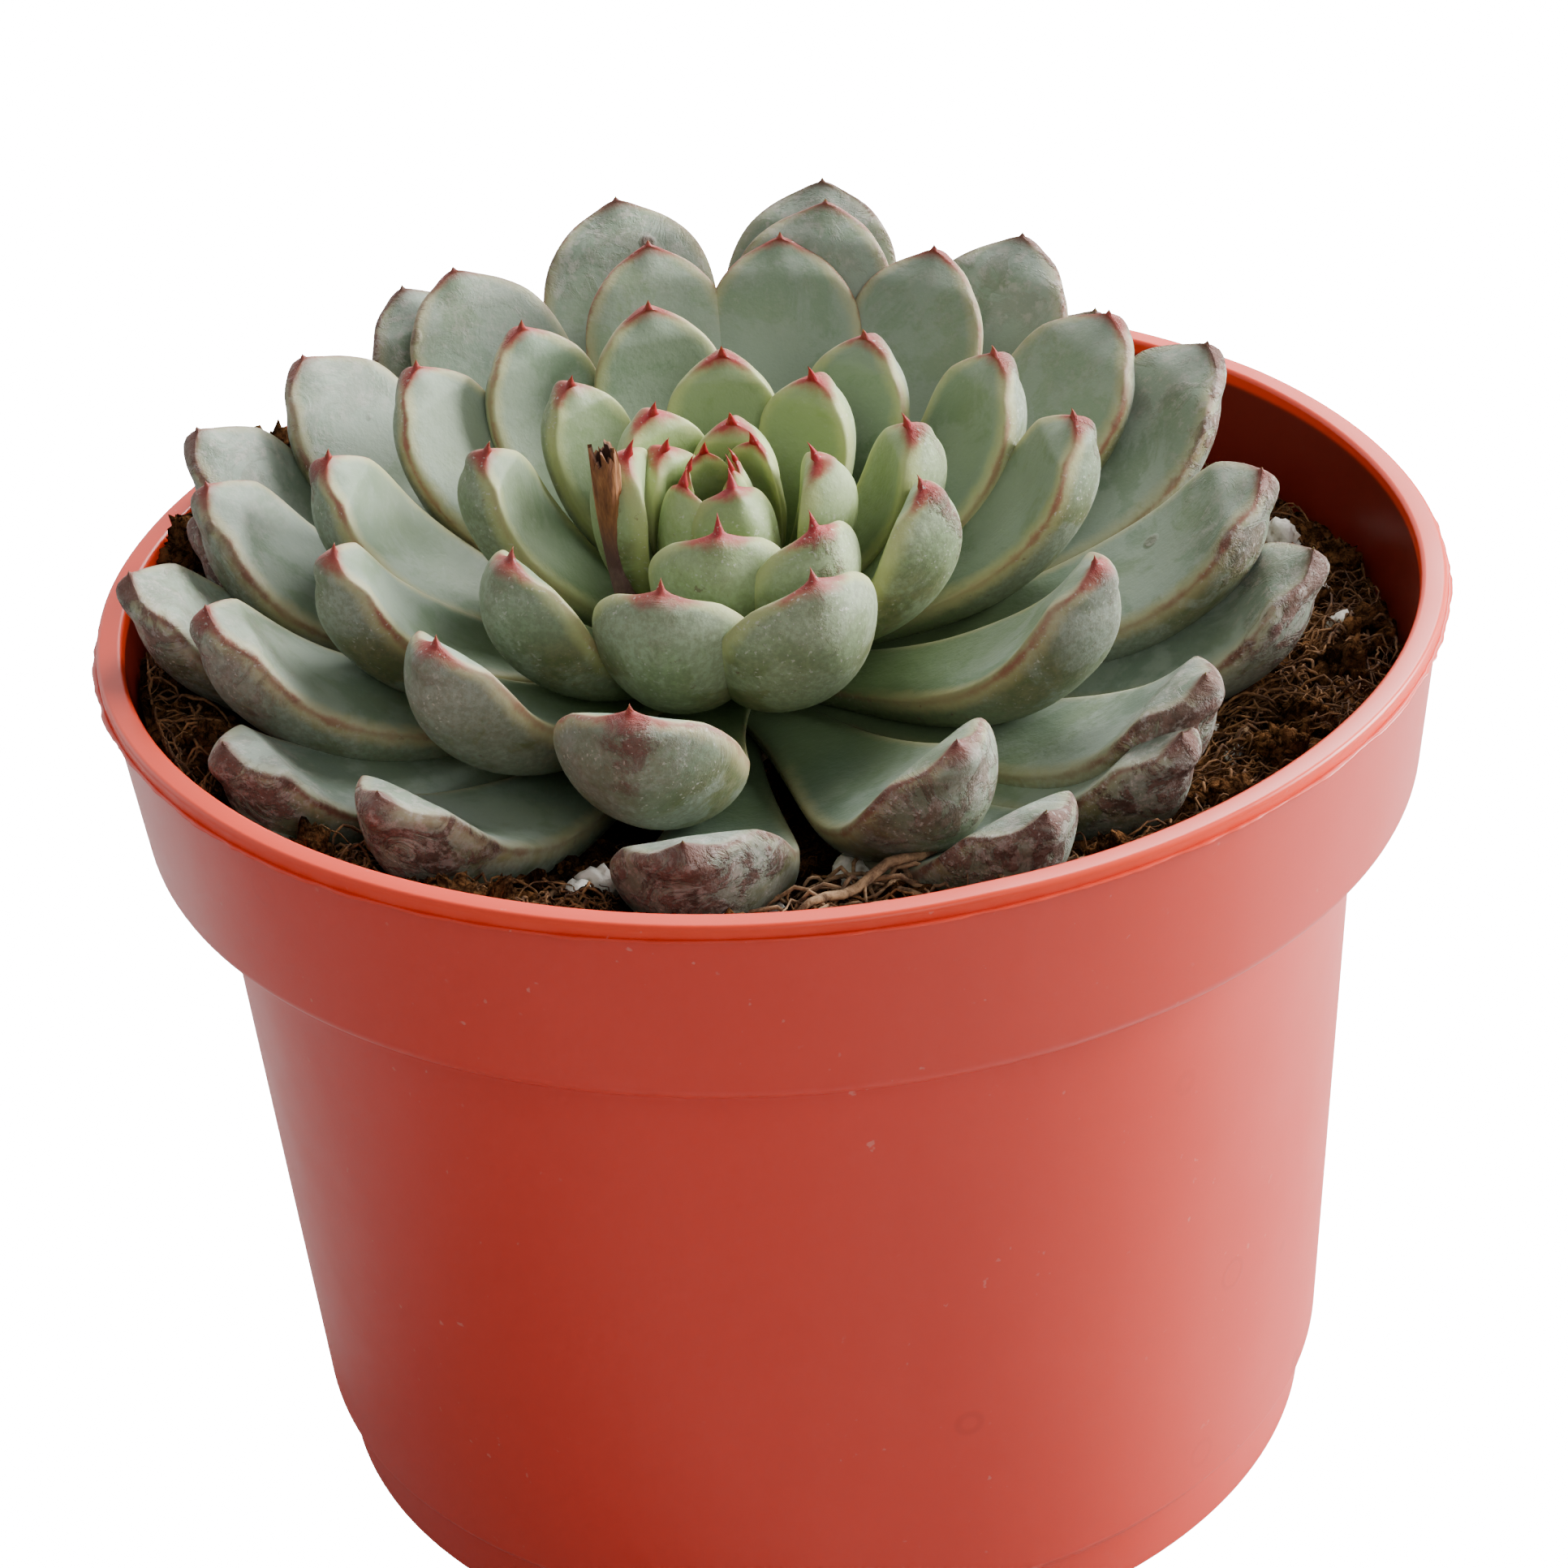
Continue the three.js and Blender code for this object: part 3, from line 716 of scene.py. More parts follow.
def leaf_blank():
    """A ball whose rings will be a leaf's sections; one is added, and each leaf is a copy of it."""
    deselect()
    bpy.ops.mesh.primitive_uv_sphere_add(segments=48, ring_count=60, radius=1, location=(0, 0, 0))
    blank = bpy.context.object
    bpy.ops.object.shade_smooth()
    return blank


def blade_width(along, spread):
    """Share of the full width: a narrow foot that swells to a broad end with rounded shoulders."""
    foot = 0.62 - 0.32 * spread
    widest = 0.72 + 0.05 * spread
    rising = foot + (1 - foot) * np.sin(np.pi / 2 * np.clip(along / widest, 0, 1)) ** 2.2
    past = np.clip((along - widest) / (1 - widest), 0, 1)
    return np.where(along < widest, rising, np.clip(1 - past ** (2.5 + 0.7 * spread), 0, 1) ** 0.5)


def blade_thickness(along):
    rising = 0.42 + 0.58 * np.sin(np.pi / 2 * np.clip(along / 0.72, 0, 1)) ** 1.6
    past = np.clip((along - 0.76) / 0.24, 0, 1)
    return np.where(along < 0.76, rising, np.clip(1 - past**2.6, 0, 1) ** 0.5)


def shape_leaf(blank, row, age, seed, point_length, name, to_frame):
    """Bends a copy of the blank into one leaf and stores what its finish needs on its corners."""
    azimuth, reach, rise, width = row[:4]
    roll = math.radians(row[4]) if len(row) > 4 else 0
    rng = random.Random(seed)
    leaf = blank.copy()
    leaf.data = blank.data.copy()
    bpy.context.collection.objects.link(leaf)

    ball = corners(leaf)
    run = 1 - np.arccos(np.clip(ball[:, 2], -1, 1)) / np.pi
    angle = np.arctan2(ball[:, 1], ball[:, 0])
    on_blade = run <= POINT_FROM
    share = np.clip(run / POINT_FROM, 0, 1)
    along = np.where(on_blade, 1 - (1 - share) ** 1.45, 1.0)
    point = np.clip((run - POINT_FROM) / (1 - POINT_FROM), 0, 1)

    curve, length = midline(reach, rise, age)
    spread = min(max((reach - 8) / 40, 0), 1)
    full = 4.9 + 2.3 * spread**0.6
    cup = 0.46 - 0.28 * spread
    if width < 7:
        full = 0.3 * width
    half = width / 2 * blade_width(along, spread)
    half = np.where(on_blade, half, 0.0)
    c, s = np.cos(angle), np.sin(angle)
    lopsided = 1 + rng.uniform(-0.06, 0.06) * np.sign(c)
    across = c * half * lopsided
    thick = full * blade_thickness(along)
    keel = 0.45 * smoothstep(0.5, 1.0, along)
    under = (1 - keel) * np.abs(s) ** 0.85 + keel * (1 - np.abs(c) ** 1.5)
    over = np.abs(s) ** 0.7 * 0.17
    depth = np.where(s > 0, over, -0.8 * under) * thick
    lift = cup * blade_width(along, spread) * width * (across / width) ** 2

    # The sharp point: a small cone that grows out of the blunt end and turns up a little.
    core = min(0.085 * width, 0.34 + 0.2 * age)
    cone = core * (1 - point) ** 1.25
    blend = smoothstep(0.93, 1.0, along)
    across = np.where(on_blade, np.maximum(np.abs(across), blend * core * np.abs(c)) * np.sign(c), c * cone)
    end_depth = np.where(on_blade, depth + lift, s * cone * 0.85)
    # The point springs from the back of a blunt end, lower the older the leaf.
    end_depth = end_depth - full * (0.3 - 0.16 * age) * smoothstep(0.94, 1.0, along)
    cusp = (0.35 + 0.4 * spread) * smoothstep(0.93, 1.0, along) * np.exp(-((across / (0.11 * width)) ** 2))
    beyond = cusp + np.where(on_blade, 0, point * point_length)
    end_depth = end_depth + np.where(on_blade, 0, 0.25 * point_length * point**2)

    wobble = np.array([noise.noise(Vector(p) * 1.6 + Vector((seed * 3.1, 0, 0))) for p in ball])
    end_depth = end_depth + wobble * 0.22 * (1 - age * 0.6) * np.where(on_blade, 1, 0)
    sway = rng.uniform(-0.9, 0.9) * np.sin(np.pi * along) * (0.3 + spread)
    turn = roll * along
    side = across * np.cos(turn) - end_depth * np.sin(turn)
    height = across * np.sin(turn) + end_depth * np.cos(turn)

    index = along * (len(curve) - 1)
    centre = np.stack([np.interp(index, np.arange(len(curve)), curve[:, k]) for k in (0, 1)], 1)
    slope = np.gradient(curve, axis=0)
    slope = slope / np.linalg.norm(slope, axis=1)[:, None]
    tangent = np.stack([np.interp(index, np.arange(len(curve)), slope[:, k]) for k in (0, 1)], 1)
    centre = centre + tangent * beyond[:, None]
    out = centre[:, 0] - tangent[:, 1] * height
    up = centre[:, 1] + tangent[:, 0] * height
    side = side + sway

    bearing = math.radians(azimuth)
    place = np.stack([
        out * math.cos(bearing) - side * math.sin(bearing),
        out * math.sin(bearing) + side * math.cos(bearing),
        up,
    ], 1) * MM
    turn_plant = np.array(to_frame)
    place = place @ turn_plant[:3, :3].T + turn_plant[:3, 3]
    move_corners(leaf, place)

    edge = np.hypot((1 - np.abs(c)) * half, depth)
    store(leaf, "along", along)
    store(leaf, "upper", s)
    store(leaf, "middle", np.abs(across) / (width / 2))
    store(leaf, "rim_mm", np.where(on_blade, edge, 0.3))
    store(leaf, "tip_mm", np.where(on_blade, (1 - along) * length, -point * point_length))
    store(leaf, "age", np.full(len(run), age))
    store(leaf, "seed", np.full(len(run), rng.random()))
    leaf.name = name
    return leaf


def outward(piece):
    deselect()
    piece.select_set(True)
    bpy.context.view_layer.objects.active = piece
    bpy.ops.object.mode_set(mode="EDIT")
    bpy.ops.mesh.select_all(action="SELECT")
    bpy.ops.mesh.normals_make_consistent(inside=False)
    bpy.ops.object.mode_set(mode="OBJECT")


def make_leaves(settings, skin):
    blank = leaf_blank()
    to_frame = plant_frame(settings)
    for i, row in enumerate(LEAVES):
        age = i / (len(LEAVES) - 1)
        name = f"leaf_{i + 1:02d}"
        point_length = 0.5 + 0.7 * smoothstep(0.35, 0.75, age) + 0.6 * smoothstep(0.8, 0.95, age)
        leaf = shape_leaf(blank, row, age, i + 1, point_length, f"skin_{name}", to_frame)
        outward(leaf)
        paint(leaf, skin)
        settle(leaf, f"skin_{name}", name)
    heart = []
    for i, row in enumerate(HEART_LEAVES):
        leaf = shape_leaf(blank, row, 1.0, 100 + i, 1.6, "heart", to_frame)
        outward(leaf)
        paint(leaf, skin)
        heart.append(leaf)
    settle(join(heart), "heart_leaves", "heart_bud")
    bpy.data.objects.remove(blank)


def make_stalk(settings):
    """A dry hollow stub, its top torn into splinters."""
    foot = Vector((6.8, -6)) * MM
    top = Vector((9.9, 18)) * MM
    lean = top - foot
    radius = 1.15 * MM
    levels = [k / 26 for k in range(27)]
    outer = [(radius * (1.12 - 0.12 * level), lean.length * level) for level in levels]
    inner = [(radius * 0.68, lean.length * level) for level in reversed(levels[12:])]
    outline = [Vector(p) for p in outer + inner]
    outline.append(Vector((0.3 * MM, lean.length * levels[12])))
    stub = turned("stalk_stub", outline, 56)
    close_ends(stub)
    place = corners(stub)
    around = np.arctan2(place[:, 1], place[:, 0])
    rise = place[:, 2] / lean.length
    tear = np.array([
        noise.noise(Vector((math.cos(a) * 2.2, math.sin(a) * 2.2, 3)))
        + 0.8 * noise.noise(Vector((math.cos(a) * 7, math.sin(a) * 7, 8))) for a in around
    ])
    reach = np.hypot(place[:, 0], place[:, 1])
    place[:, 2] += smoothstep(0.6, 1.0, rise) * (tear * 2.2 - 1.4) * MM
    ridges = np.array([
        noise.noise(Vector((math.cos(a) * 5, math.sin(a) * 5, r * 3))) for a, r in zip(around, rise)
    ])
    swell = 1 + 0.09 * ridges * (reach > 0.5 * radius) + 0.06 * np.sin(rise * 7)
    place[:, :2] *= swell[:, None]
    place[:, 0] += 0.9 * MM * np.sin(rise * math.pi)
    move_corners(stub, place)
    store(stub, "along", rise)
    # Marks the inside of the hollow, where the finish paints shade.
    store(stub, "inside", (reach < 0.72 * radius) & (rise > 0.3))
    bpy.ops.object.select_all(action="DESELECT")
    stub.select_set(True)
    bpy.context.view_layer.objects.active = stub
    bpy.ops.object.shade_smooth_by_angle(angle=math.radians(50))
    tilt = math.atan2(lean.x, lean.y)
    bearing = Matrix.Rotation(math.radians(STALK_AZIMUTH), 4, "Z")
    stand = Matrix.Translation((foot.x, 0, foot.y)) @ Matrix.Rotation(tilt, 4, "Y")
    stub.matrix_world = plant_frame(settings) @ bearing @ stand
    paint(stub, stalk_finish())
    settle(stub, "stalk_stub", "old_flower_stalk")


def finish_stem():
    """The hidden stem keeps its plain shape and gets a bark finish."""
    stem = frame["nodes"]["stem_and_root"]
    paint(stem, bark_finish("stem_bark", (0.07, 0.045, 0.02), (0.2, 0.15, 0.08)))


# ---- Soil and litter ------------------------------------------------------------------------


def soil_level(x, y):
    """Height of the compost: a bowl, fuller at the front, clumped at the back left and heaped at the left."""
    reach = math.hypot(x, y) / SOIL_HIGH[0]
    bowl = np.interp(reach, [0, 0.35, 0.55, 0.75, 0.9, 1.02], [18, 16.5, 13.5, 10, 8.2, 8]) * MM
    front = -y / SOIL_HIGH[0]
    side = x / SOIL_HIGH[0]
    level = POT_HIGH[2] - bowl + 1.8 * MM * max(front, 0) * reach - 2.0 * MM * max(side, 0) * reach**2
    clump = math.exp(-((x + 49 * MM) ** 2 + (y - 27 * MM) ** 2) / (2 * (9 * MM) ** 2))
    heap = math.exp(-((x + 55 * MM) ** 2) / (2 * (8 * MM) ** 2) - y**2 / (2 * (22 * MM) ** 2))
    return level + 9 * MM * clump + 4.5 * MM * heap - 0.9 * MM


def soil_relief(x, y):
    spot = Vector((x, y, 0.3))
    lumps = noise.noise(spot * 130) * 1.7 + noise.noise(spot * 300) * 1.6
    crumbs = abs(noise.noise(spot * 620)) * 1.1 + noise.noise(spot * 1300) * 0.4
    return (lumps + crumbs - 0.3) * MM


def make_soil():
    low = SOIL_LOW[2]
    rim = SOIL_HIGH[0] - 0.1 * MM
    steps = 96
    top = [Vector((0.5 * MM + (rim - 0.5 * MM) * (k / steps) ** 0.75, 0)) for k in range(steps + 1)]
    shoulder = POT_HIGH[2] - 15 * MM
    wall = [
        (56 * MM, shoulder + 2 * MM), (50.2 * MM, shoulder), (46 * MM, low + 4 * MM), (44.6 * MM, low),
        (0.5 * MM, low),
    ]
    mound = turned("compost", top + [Vector(p) for p in wall], 256)
    close_ends(mound)
    place = corners(mound)
    surface = np.abs(place[:, 2]) < 1e-6
    for i in np.flatnonzero(surface):
        x, y = place[i, :2]
        place[i, 2] = soil_level(x, y) + soil_relief(x, y)
    move_corners(mound, place)
    outward(mound)
    dry = np.array([noise.noise(Vector(p) * 45 + Vector((7, 1, 2))) for p in place])
    right = smoothstep(-0.3, 0.8, place[:, 0] / rim)
    store(mound, "dry", np.clip(0.25 + 0.9 * dry + 0.7 * right, 0, 1))
    bpy.ops.object.select_all(action="DESELECT")
    mound.select_set(True)
    bpy.context.view_layer.objects.active = mound
    bpy.ops.object.shade_smooth()
    paint(mound, soil_finish())
    settle(mound, "compost", "soil")


def lump(name, detail, seed, roughness=0.35):
    """A knobbly grain of unit size, made once and copied."""
    deselect()
    bpy.ops.mesh.primitive_ico_sphere_add(subdivisions=detail, radius=1, location=(0, 0, 0))
    grain = bpy.context.object
    place = corners(grain)
    push = [
        1 + roughness * (
            noise.noise(Vector(p) * 1.3 + Vector((seed, 0, 0))) + 0.5 * noise.noise(Vector(p) * 3.1)
        )
        for p in place
    ]
    move_corners(grain, place * np.array(push)[:, None])
    bpy.ops.object.shade_smooth()
    grain.name = name
    return grain


def many(name, blank, placements):
    """Copies one blank to every placement matrix and joins the copies into one piece."""
    base = np.concatenate([corners(blank), np.ones((len(blank.data.vertices), 1))], 1)
    faces = [tuple(p.vertices) for p in blank.data.polygons]
    stride = len(base)
    place = np.concatenate([base @ np.array(m).T for m in placements])[:, :3]
    every = [tuple(v + k * stride for v in face) for k in range(len(placements)) for face in faces]
    mesh = bpy.data.meshes.new(name)
    mesh.from_pydata(place.tolist(), [], every)
    mesh.polygons.foreach_set("use_smooth", [True] * len(every))
    piece = bpy.data.objects.new(name, mesh)
    bpy.context.collection.objects.link(piece)
    bpy.data.objects.remove(blank)
    return piece


def scatter_spot(rng, low=0.45, high=0.98):
    reach = SOIL_HIGH[0] * math.sqrt(rng.uniform(low**2, high**2))
    turn = rng.uniform(0, 2 * math.pi)
    return reach * math.cos(turn), reach * math.sin(turn)


def tumble(rng, place, size, squash=0.35):
    turn = Euler((rng.uniform(0, 6.3), rng.uniform(0, 6.3), rng.uniform(0, 6.3))).to_matrix().to_4x4()
    scale = Matrix.Diagonal([size * rng.uniform(1 - squash, 1 + squash) for _ in range(3)] + [1])
    return Matrix.Translation(place) @ turn @ scale


def leaf_surface():
    """Every leaf in one searchable surface, to keep the litter off them."""
    place, faces = [], []
    for piece in bpy.data.objects:
        if piece.name.startswith("skin_leaf"):
            start = len(place)
            place += [tuple(v.co) for v in piece.data.vertices]
            faces += [tuple(v + start for v in face.vertices) for face in piece.data.polygons]
    return BVHTree.FromPolygons(place, faces)


def is_clear(leaves, place, size):
    """True where a grain of this size neither touches a leaf nor lies on one."""
    gap = leaves.find_nearest(place)[3]
    return gap > size and leaves.ray_cast(Vector(place), Vector((0, 0, -1)), 3 * MM)[0] is None


def make_crumbs(settings):
    rng = random.Random(settings.seed)
    leaves = leaf_surface()
    for kind, share, sizes, detail in (("fine", 0.9, (0.2, 0.6), 1), ("coarse", 0.1, (0.6, 1.3), 2)):
        spots = []
        for _ in range(int(settings.crumbs * share)):
            x, y = scatter_spot(rng)
            size = rng.uniform(*sizes) * MM
            place = (x, y, soil_level(x, y) + soil_relief(x, y) + size * 0.2)
            grain = tumble(rng, place, size, 0.45)
            if is_clear(leaves, place, size * 1.2):
                spots.append(grain)
        heap = many(f"{kind}_crumbs", lump(kind, detail, rng.random() * 9, 0.9), spots)
        dry = [rng.uniform(0.3, 1) for _ in spots]
        store(heap, "dry", np.repeat(dry, len(heap.data.vertices) // len(spots)))
        paint(heap, bpy.data.materials["compost_mix"])
        settle(heap, f"{kind}_crumbs")


def make_clods(settings):
    """Fluffy brown clods of coir, bigger than the crumbs, where the compost is bare."""
    rng = random.Random(settings.seed + 2)
    leaves = leaf_surface()
    spots = []
    for x, y, size in CLODS:
        place = (x * MM, y * MM, soil_level(x * MM, y * MM) + 0.35 * size * MM)
        clod = tumble(rng, place, size * MM, 0.3)
        if is_clear(leaves, place, 0.8 * size * MM):
            spots.append(clod)
    blank = lump("clod", 4, 3.3, 0.55)
    place = corners(blank)
    fuzz = [1 + 0.3 * noise.noise(Vector(p) * 3.5) + 0.3 * noise.noise(Vector(p) * 8) for p in place]
    move_corners(blank, place * np.array(fuzz)[:, None])
    heap = many("coir_clods", blank, spots)
    store(heap, "dry", np.full(len(heap.data.vertices), 0.6))
    paint(heap, bpy.data.materials["compost_mix"])
    settle(heap, "coir_clods")


def make_perlite(settings):
    """White grains on and in the compost; the largest ones lie in set places at the front and right."""
    white = perlite_finish()
    middle = (Vector(GRAIN_LOW) + Vector(GRAIN_HIGH)) / 2
    big = tumble(random.Random(3), middle + Vector((0, 0, 0.8 * MM)), 2.5 * MM, 0.12)
    grain = many("perlite_grain_white", lump("grain", 3, 2.2, 0.5), [big])
    paint(grain, white)
    settle(grain, "perlite_grain_white", "perlite_grain")
    rng = random.Random(settings.seed + 5)
    chosen = [
        (14.5, -30.5, 1.5), (-16, -34.5, 1.6), (-17.8, -37.5, 1.3), (-7.7, -46, 1.4), (-5.4, -46.6, 1.1),
        (-2, -40.5, 1.2), (5.2, -33, 1.5), (48.4, 18, 1.9), (51.6, 1, 1.3), (53.2, 0, 1.2), (45.8, 4, 1.5),
        (37.6, -15, 0.8), (49.5, 9, 0.9),
    ]
    spots = [(x * MM, y * MM, size * MM) for x, y, size in chosen]
    for _ in range(34):
        x, y = scatter_spot(rng, 0.5)
        spots.append((x, y, rng.uniform(0.3, 0.9) * MM))
    placements = [tumble(rng, (x, y, soil_level(x, y) + size * 0.5), size, 0.25) for x, y, size in spots]
    rest = many("perlite_grains", lump("grains", 3, 6.1, 0.55), placements)
    paint(rest, white)
    settle(rest, "perlite_grains")


def strand(points, radius, sides, taper):
    """Corners and faces of a thin tube through points, closed to a tip at both ends."""
    rings = []
    for i, here in enumerate(points):
        ahead = points[min(i + 1, len(points) - 1)] - points[max(i - 1, 0)]
        turn = ahead.to_track_quat("Z", "X")
        share = i / (len(points) - 1)
        wide = radius * (1 - taper * abs(2 * share - 1) ** 3)
        for k in range(sides):
            angle = 2 * math.pi * k / sides
            rings.append(here + turn @ Vector((wide * math.cos(angle), wide * math.sin(angle), 0)))
    faces = []
    for i in range(len(points) - 1):
        for k in range(sides):
            a, b = i * sides + k, i * sides + (k + 1) % sides
            faces.append((a, b, b + sides, a + sides))
    faces.append(tuple(reversed(range(sides))))
    faces.append(tuple(range((len(points) - 1) * sides, len(points) * sides)))
    return rings, faces


def strands_piece(name, routes, sides, material, node=None, taper=0.8):
    place, faces = [], []
    for points, radius in routes:
        ring, sheet = strand(points, radius, sides, taper)
        faces += [tuple(v + len(place) for v in face) for face in sheet]
        place += ring
    mesh = bpy.data.meshes.new(name)
    mesh.from_pydata([tuple(p) for p in place], [], faces)
    mesh.polygons.foreach_set("use_smooth", [True] * len(faces))
    piece = bpy.data.objects.new(name, mesh)
    bpy.context.collection.objects.link(piece)
    paint(piece, material)
    return settle(piece, name, node)


def fibre_route(rng, x, y, length, lift, curl, steps=8):
    """A strand that wanders over the compost, arching clear of it in the middle."""
    heading = rng.uniform(0, 2 * math.pi)
    points = []
    limit = SOIL_HIGH[0] - 1 * MM
    for k in range(steps + 1):
        arch = lift * math.sin(math.pi * k / steps)
        level = soil_level(x, y) + 0.5 * MM + arch + rng.uniform(-0.3, 0.3) * MM
        points.append(Vector((x, y, level)))
        heading += rng.uniform(-curl, curl)
        x += length / steps * math.cos(heading)
        y += length / steps * math.sin(heading)
        reach = math.hypot(x, y)
        if reach > limit:
            x, y = x * limit / reach, y * limit / reach
    return points


def make_fibres(settings):
    rng = random.Random(settings.seed + 11)
    coir = bark_finish("coir_fibre", (0.05, 0.02, 0.008), (0.32, 0.155, 0.06))
    routes = []
    leaves = leaf_surface()
    for _ in range(settings.fibres):
        x, y = scatter_spot(rng, 0.55)
        length = rng.uniform(2, 10) * MM
        route = fibre_route(rng, x, y, length, rng.uniform(0, 1.6) * MM, 0.6)
        if all(is_clear(leaves, place, 0.3 * MM) for place in route[::2]):
            routes.append((route, rng.uniform(0.05, 0.14) * MM))
    for x, y, width in COIR_TUFTS:
        for _ in range(46):
            out = width * MM * math.sqrt(rng.random())
            turn = rng.uniform(0, 2 * math.pi)
            start = (x * MM + out * math.cos(turn), y * MM + out * math.sin(turn))
            route = fibre_route(rng, *start, rng.uniform(3, 8) * MM, rng.uniform(0.3, 2.4) * MM, 0.8)
            if all(is_clear(leaves, place, 0.3 * MM) for place in route[::2]):
                routes.append((route, rng.uniform(0.07, 0.17) * MM))
    strands_piece("coir_fibres", routes, 4, coir)

    twig_wood = bark_finish("twig_wood", (0.10, 0.055, 0.03), (0.45, 0.28, 0.15))
    main = [
        Vector((
            TWIG_LOW[0] + (TWIG_HIGH[0] - TWIG_LOW[0]) * k / 10,
            TWIG_LOW[1] + (TWIG_HIGH[1] - TWIG_LOW[1]) * k / 10,
            TWIG_HIGH[2] - 0.7 * MM + 0.5 * MM * math.sin(k * 1.3),
        )) for k in range(11)
    ]
    strands_piece("bark_twig_main", [(main, 0.45 * MM)], 10, twig_wood, "bark_twig", taper=0.45)
    routes = []
    for _ in range(60):
        x, y = rng.uniform(-1, 17) * MM, rng.uniform(-50, -37) * MM
        length = rng.uniform(3, 11) * MM
        route = fibre_route(rng, x, y, length, rng.uniform(0.3, 2.6) * MM, 0.5)
        routes.append((route, rng.uniform(0.07, 0.27) * MM))
    for _ in range(50):
        x, y = scatter_spot(rng, 0.6)
        length = rng.uniform(3, 9) * MM
        route = fibre_route(rng, x, y, length, rng.uniform(0.1, 1.2) * MM, 0.4)
        routes.append((route, rng.uniform(0.1, 0.3) * MM))
    strands_piece("bark_splinters", routes, 7, twig_wood)


# ---- Stage ----------------------------------------------------------------------------------


def soft_light(name, place, size, power, aim, colour=(1, 1, 1)):
    lamp = bpy.data.lights.new(name, "AREA")
    lamp.shape = "DISK"
    lamp.size = size
    lamp.energy = power
    lamp.color = colour
    light = bpy.data.objects.new(name, lamp)
    bpy.context.collection.objects.link(light)
    turn = (Vector(aim) - Vector(place)).to_track_quat("-Z", "Y").to_matrix().to_4x4()
    light.matrix_world = Matrix.Translation(place) @ turn


def make_stage(settings):
    deselect()
    bpy.ops.mesh.primitive_plane_add(size=6, location=(0, 0, 0))
    floor = bpy.context.object
    floor.name = "floor"
    f = Finish("pale_floor")
    seen = f.node("ShaderNodeLightPath", output="Is Camera Ray")
    glow = f.ramp(seen, 0, 1, 0, 20)
    paint(floor, f.finish((0.45, 0.45, 0.45), 0.6, Emission_Color=(1, 1, 1), Emission_Strength=glow))

    world = bpy.data.worlds.new("white_room")
    world.use_nodes = True
    bpy.context.scene.world = world
    tree = world.node_tree
    sky = tree.nodes["Background"]
    sky.inputs["Color"].default_value = (1, 1, 1, 1)
    path = tree.nodes.new("ShaderNodeLightPath")
    shine = tree.nodes.new("ShaderNodeMapRange")
    shine.inputs["To Min"].default_value = settings.ambient
    shine.inputs["To Max"].default_value = settings.reflected
    tree.links.new(path.outputs["Is Glossy Ray"], shine.inputs["Value"])
    seen = tree.nodes.new("ShaderNodeMapRange")
    seen.inputs["To Max"].default_value = settings.background
    tree.links.new(path.outputs["Is Camera Ray"], seen.inputs["Value"])
    tree.links.new(shine.outputs[0], seen.inputs["To Min"])
    tree.links.new(seen.outputs[0], sky.inputs["Strength"])

    aim = (0, 0, 0.07)
    soft_light("right_window", (0.8, 0.22, 0.38), 0.45, 24, aim)
    soft_light("left_window", (-0.8, 0.45, 0.35), 0.6, 1, aim)
    soft_light("back_softbox", (0.3, 0.6, 0.65), 0.5, 12, aim)
    soft_light("front_fill", (0.25, -0.8, 0.6), 0.5, 2.5, aim)

    middle = Vector((0, 0, POT_HIGH[2]))
    back = Vector((0, -math.cos(settings.elevation), math.sin(settings.elevation)))
    lens = bpy.data.cameras.new("camera")
    lens.lens = settings.lens
    lens.sensor_width = 36
    lens.clip_start = 0.01
    camera = bpy.data.objects.new("camera", lens)
    bpy.context.collection.objects.link(camera)
    look = (-back).to_track_quat("-Z", "Y").to_matrix().to_4x4()
    nod = Matrix.Rotation(-settings.tip, 4, "X") @ Matrix.Rotation(-settings.roll, 4, "Z")
    camera.matrix_world = Matrix.Translation(middle + back * settings.distance) @ look @ nod
    bpy.context.scene.camera = camera


# ---- Operators and panel --------------------------------------------------------------------


class SUCCULENT_OT_pot(bpy.types.Operator):
    """Makes the pot and the fin of flash under its lip"""

    bl_idname = "succulent.pot"
    bl_label = "Pot"

    def execute(self, context):
        make_pot(context.scene.succulent_pot)
        return {"FINISHED"}


class SUCCULENT_OT_rosette(bpy.types.Operator):
    """Makes every leaf, from the oldest to the ones at the heart"""

    bl_idname = "succulent.rosette"
    bl_label = "Rosette"

    def execute(self, context):
        settings = context.scene.succulent_plant
        make_leaves(settings, leaf_finish(settings))
        return {"FINISHED"}


class SUCCULENT_OT_stalk(bpy.types.Operator):
    """Makes the torn stub of the old flower stalk and finishes the stem"""

    bl_idname = "succulent.stalk"
    bl_label = "Stalk and Stem"

    def execute(self, context):
        make_stalk(context.scene.succulent_plant)
        finish_stem()
        return {"FINISHED"}


class SUCCULENT_OT_soil(bpy.types.Operator):
    """Makes the compost with its crumbs"""

    bl_idname = "succulent.soil"
    bl_label = "Soil"

    def execute(self, context):
        make_soil()
        make_crumbs(context.scene.succulent_soil)
        make_clods(context.scene.succulent_soil)
        return {"FINISHED"}


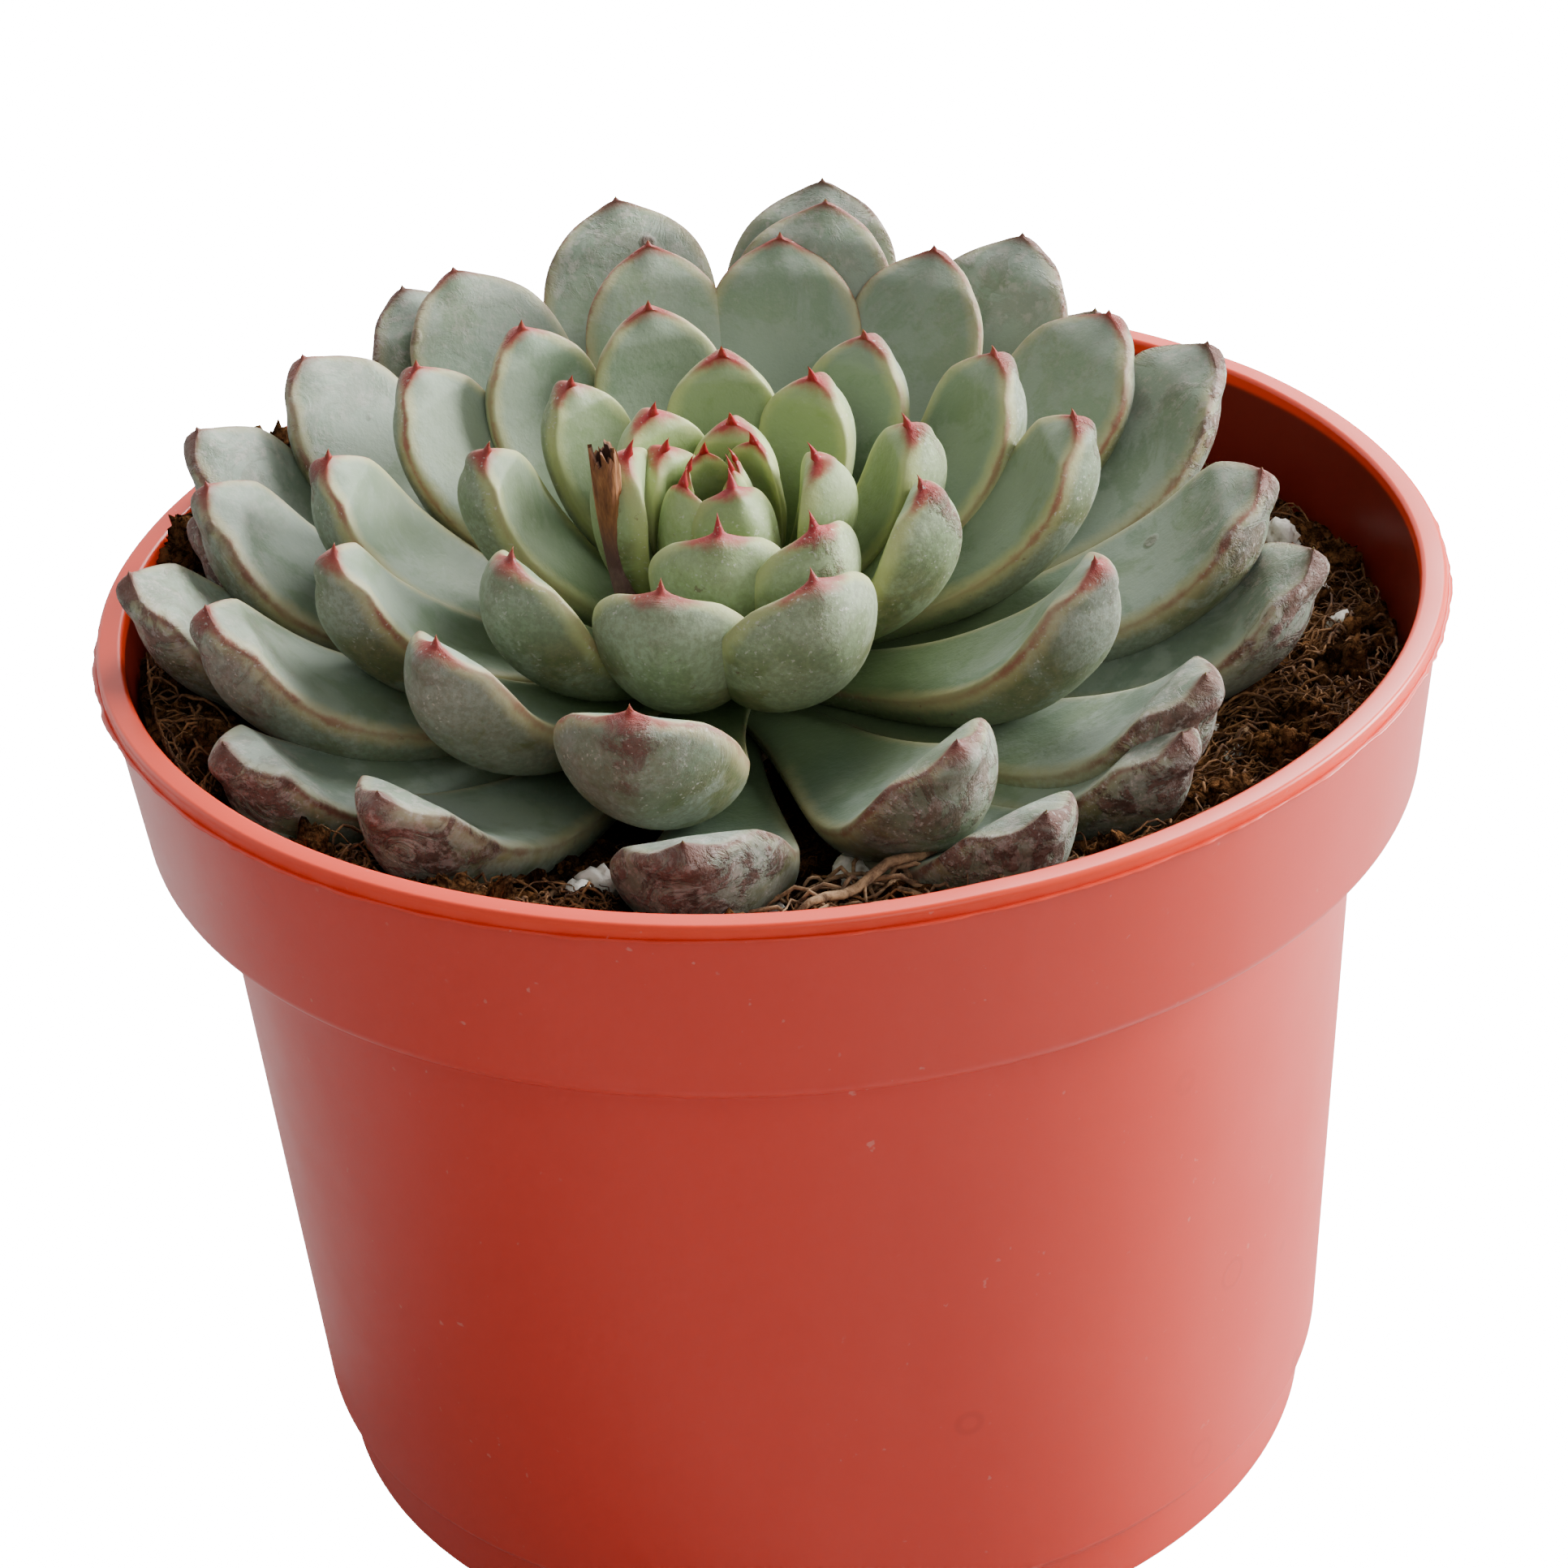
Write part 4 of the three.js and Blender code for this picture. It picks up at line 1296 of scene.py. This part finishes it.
class SUCCULENT_OT_litter(bpy.types.Operator):
    """Scatters perlite, coir fibres and bark splinters on the compost"""

    bl_idname = "succulent.litter"
    bl_label = "Litter"

    def execute(self, context):
        make_perlite(context.scene.succulent_soil)
        make_fibres(context.scene.succulent_soil)
        return {"FINISHED"}


class SUCCULENT_OT_stage(bpy.types.Operator):
    """Sets the floor, the lights and the camera"""

    bl_idname = "succulent.stage"
    bl_label = "Stage"

    def execute(self, context):
        make_stage(context.scene.succulent_stage)
        return {"FINISHED"}


OPERATORS = [
    SUCCULENT_OT_pot, SUCCULENT_OT_rosette, SUCCULENT_OT_stalk, SUCCULENT_OT_soil, SUCCULENT_OT_litter,
    SUCCULENT_OT_stage,
]
SETTINGS = {
    "succulent_pot": PotSettings, "succulent_plant": PlantSettings, "succulent_soil": SoilSettings,
    "succulent_stage": StageSettings,
}


class SUCCULENT_PT_panel(bpy.types.Panel):
    """Lists the settings and the pieces in the sidebar"""

    bl_label = "Potted Succulent"
    bl_idname = "SUCCULENT_PT_panel"
    bl_space_type = "VIEW_3D"
    bl_region_type = "UI"
    bl_category = "Succulent"

    def draw(self, context):
        for name, group in SETTINGS.items():
            box = self.layout.box()
            for prop in group.__annotations__:
                box.prop(getattr(context.scene, name), prop)
        for operator in OPERATORS:
            self.layout.operator(operator.bl_idname)


def register():
    for group in [*SETTINGS.values(), *OPERATORS, SUCCULENT_PT_panel]:
        bpy.utils.register_class(group)
    for name, group in SETTINGS.items():
        setattr(bpy.types.Scene, name, PointerProperty(type=group))


def unregister():
    for name in SETTINGS:
        delattr(bpy.types.Scene, name)
    for group in reversed([*SETTINGS.values(), *OPERATORS, SUCCULENT_PT_panel]):
        bpy.utils.unregister_class(group)


def main():
    register()
    bpy.ops.succulent.pot()
    bpy.ops.succulent.rosette()
    bpy.ops.succulent.stalk()
    bpy.ops.succulent.soil()
    bpy.ops.succulent.litter()
    bpy.ops.succulent.stage()
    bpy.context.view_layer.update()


if __name__ == "__main__":
    main()
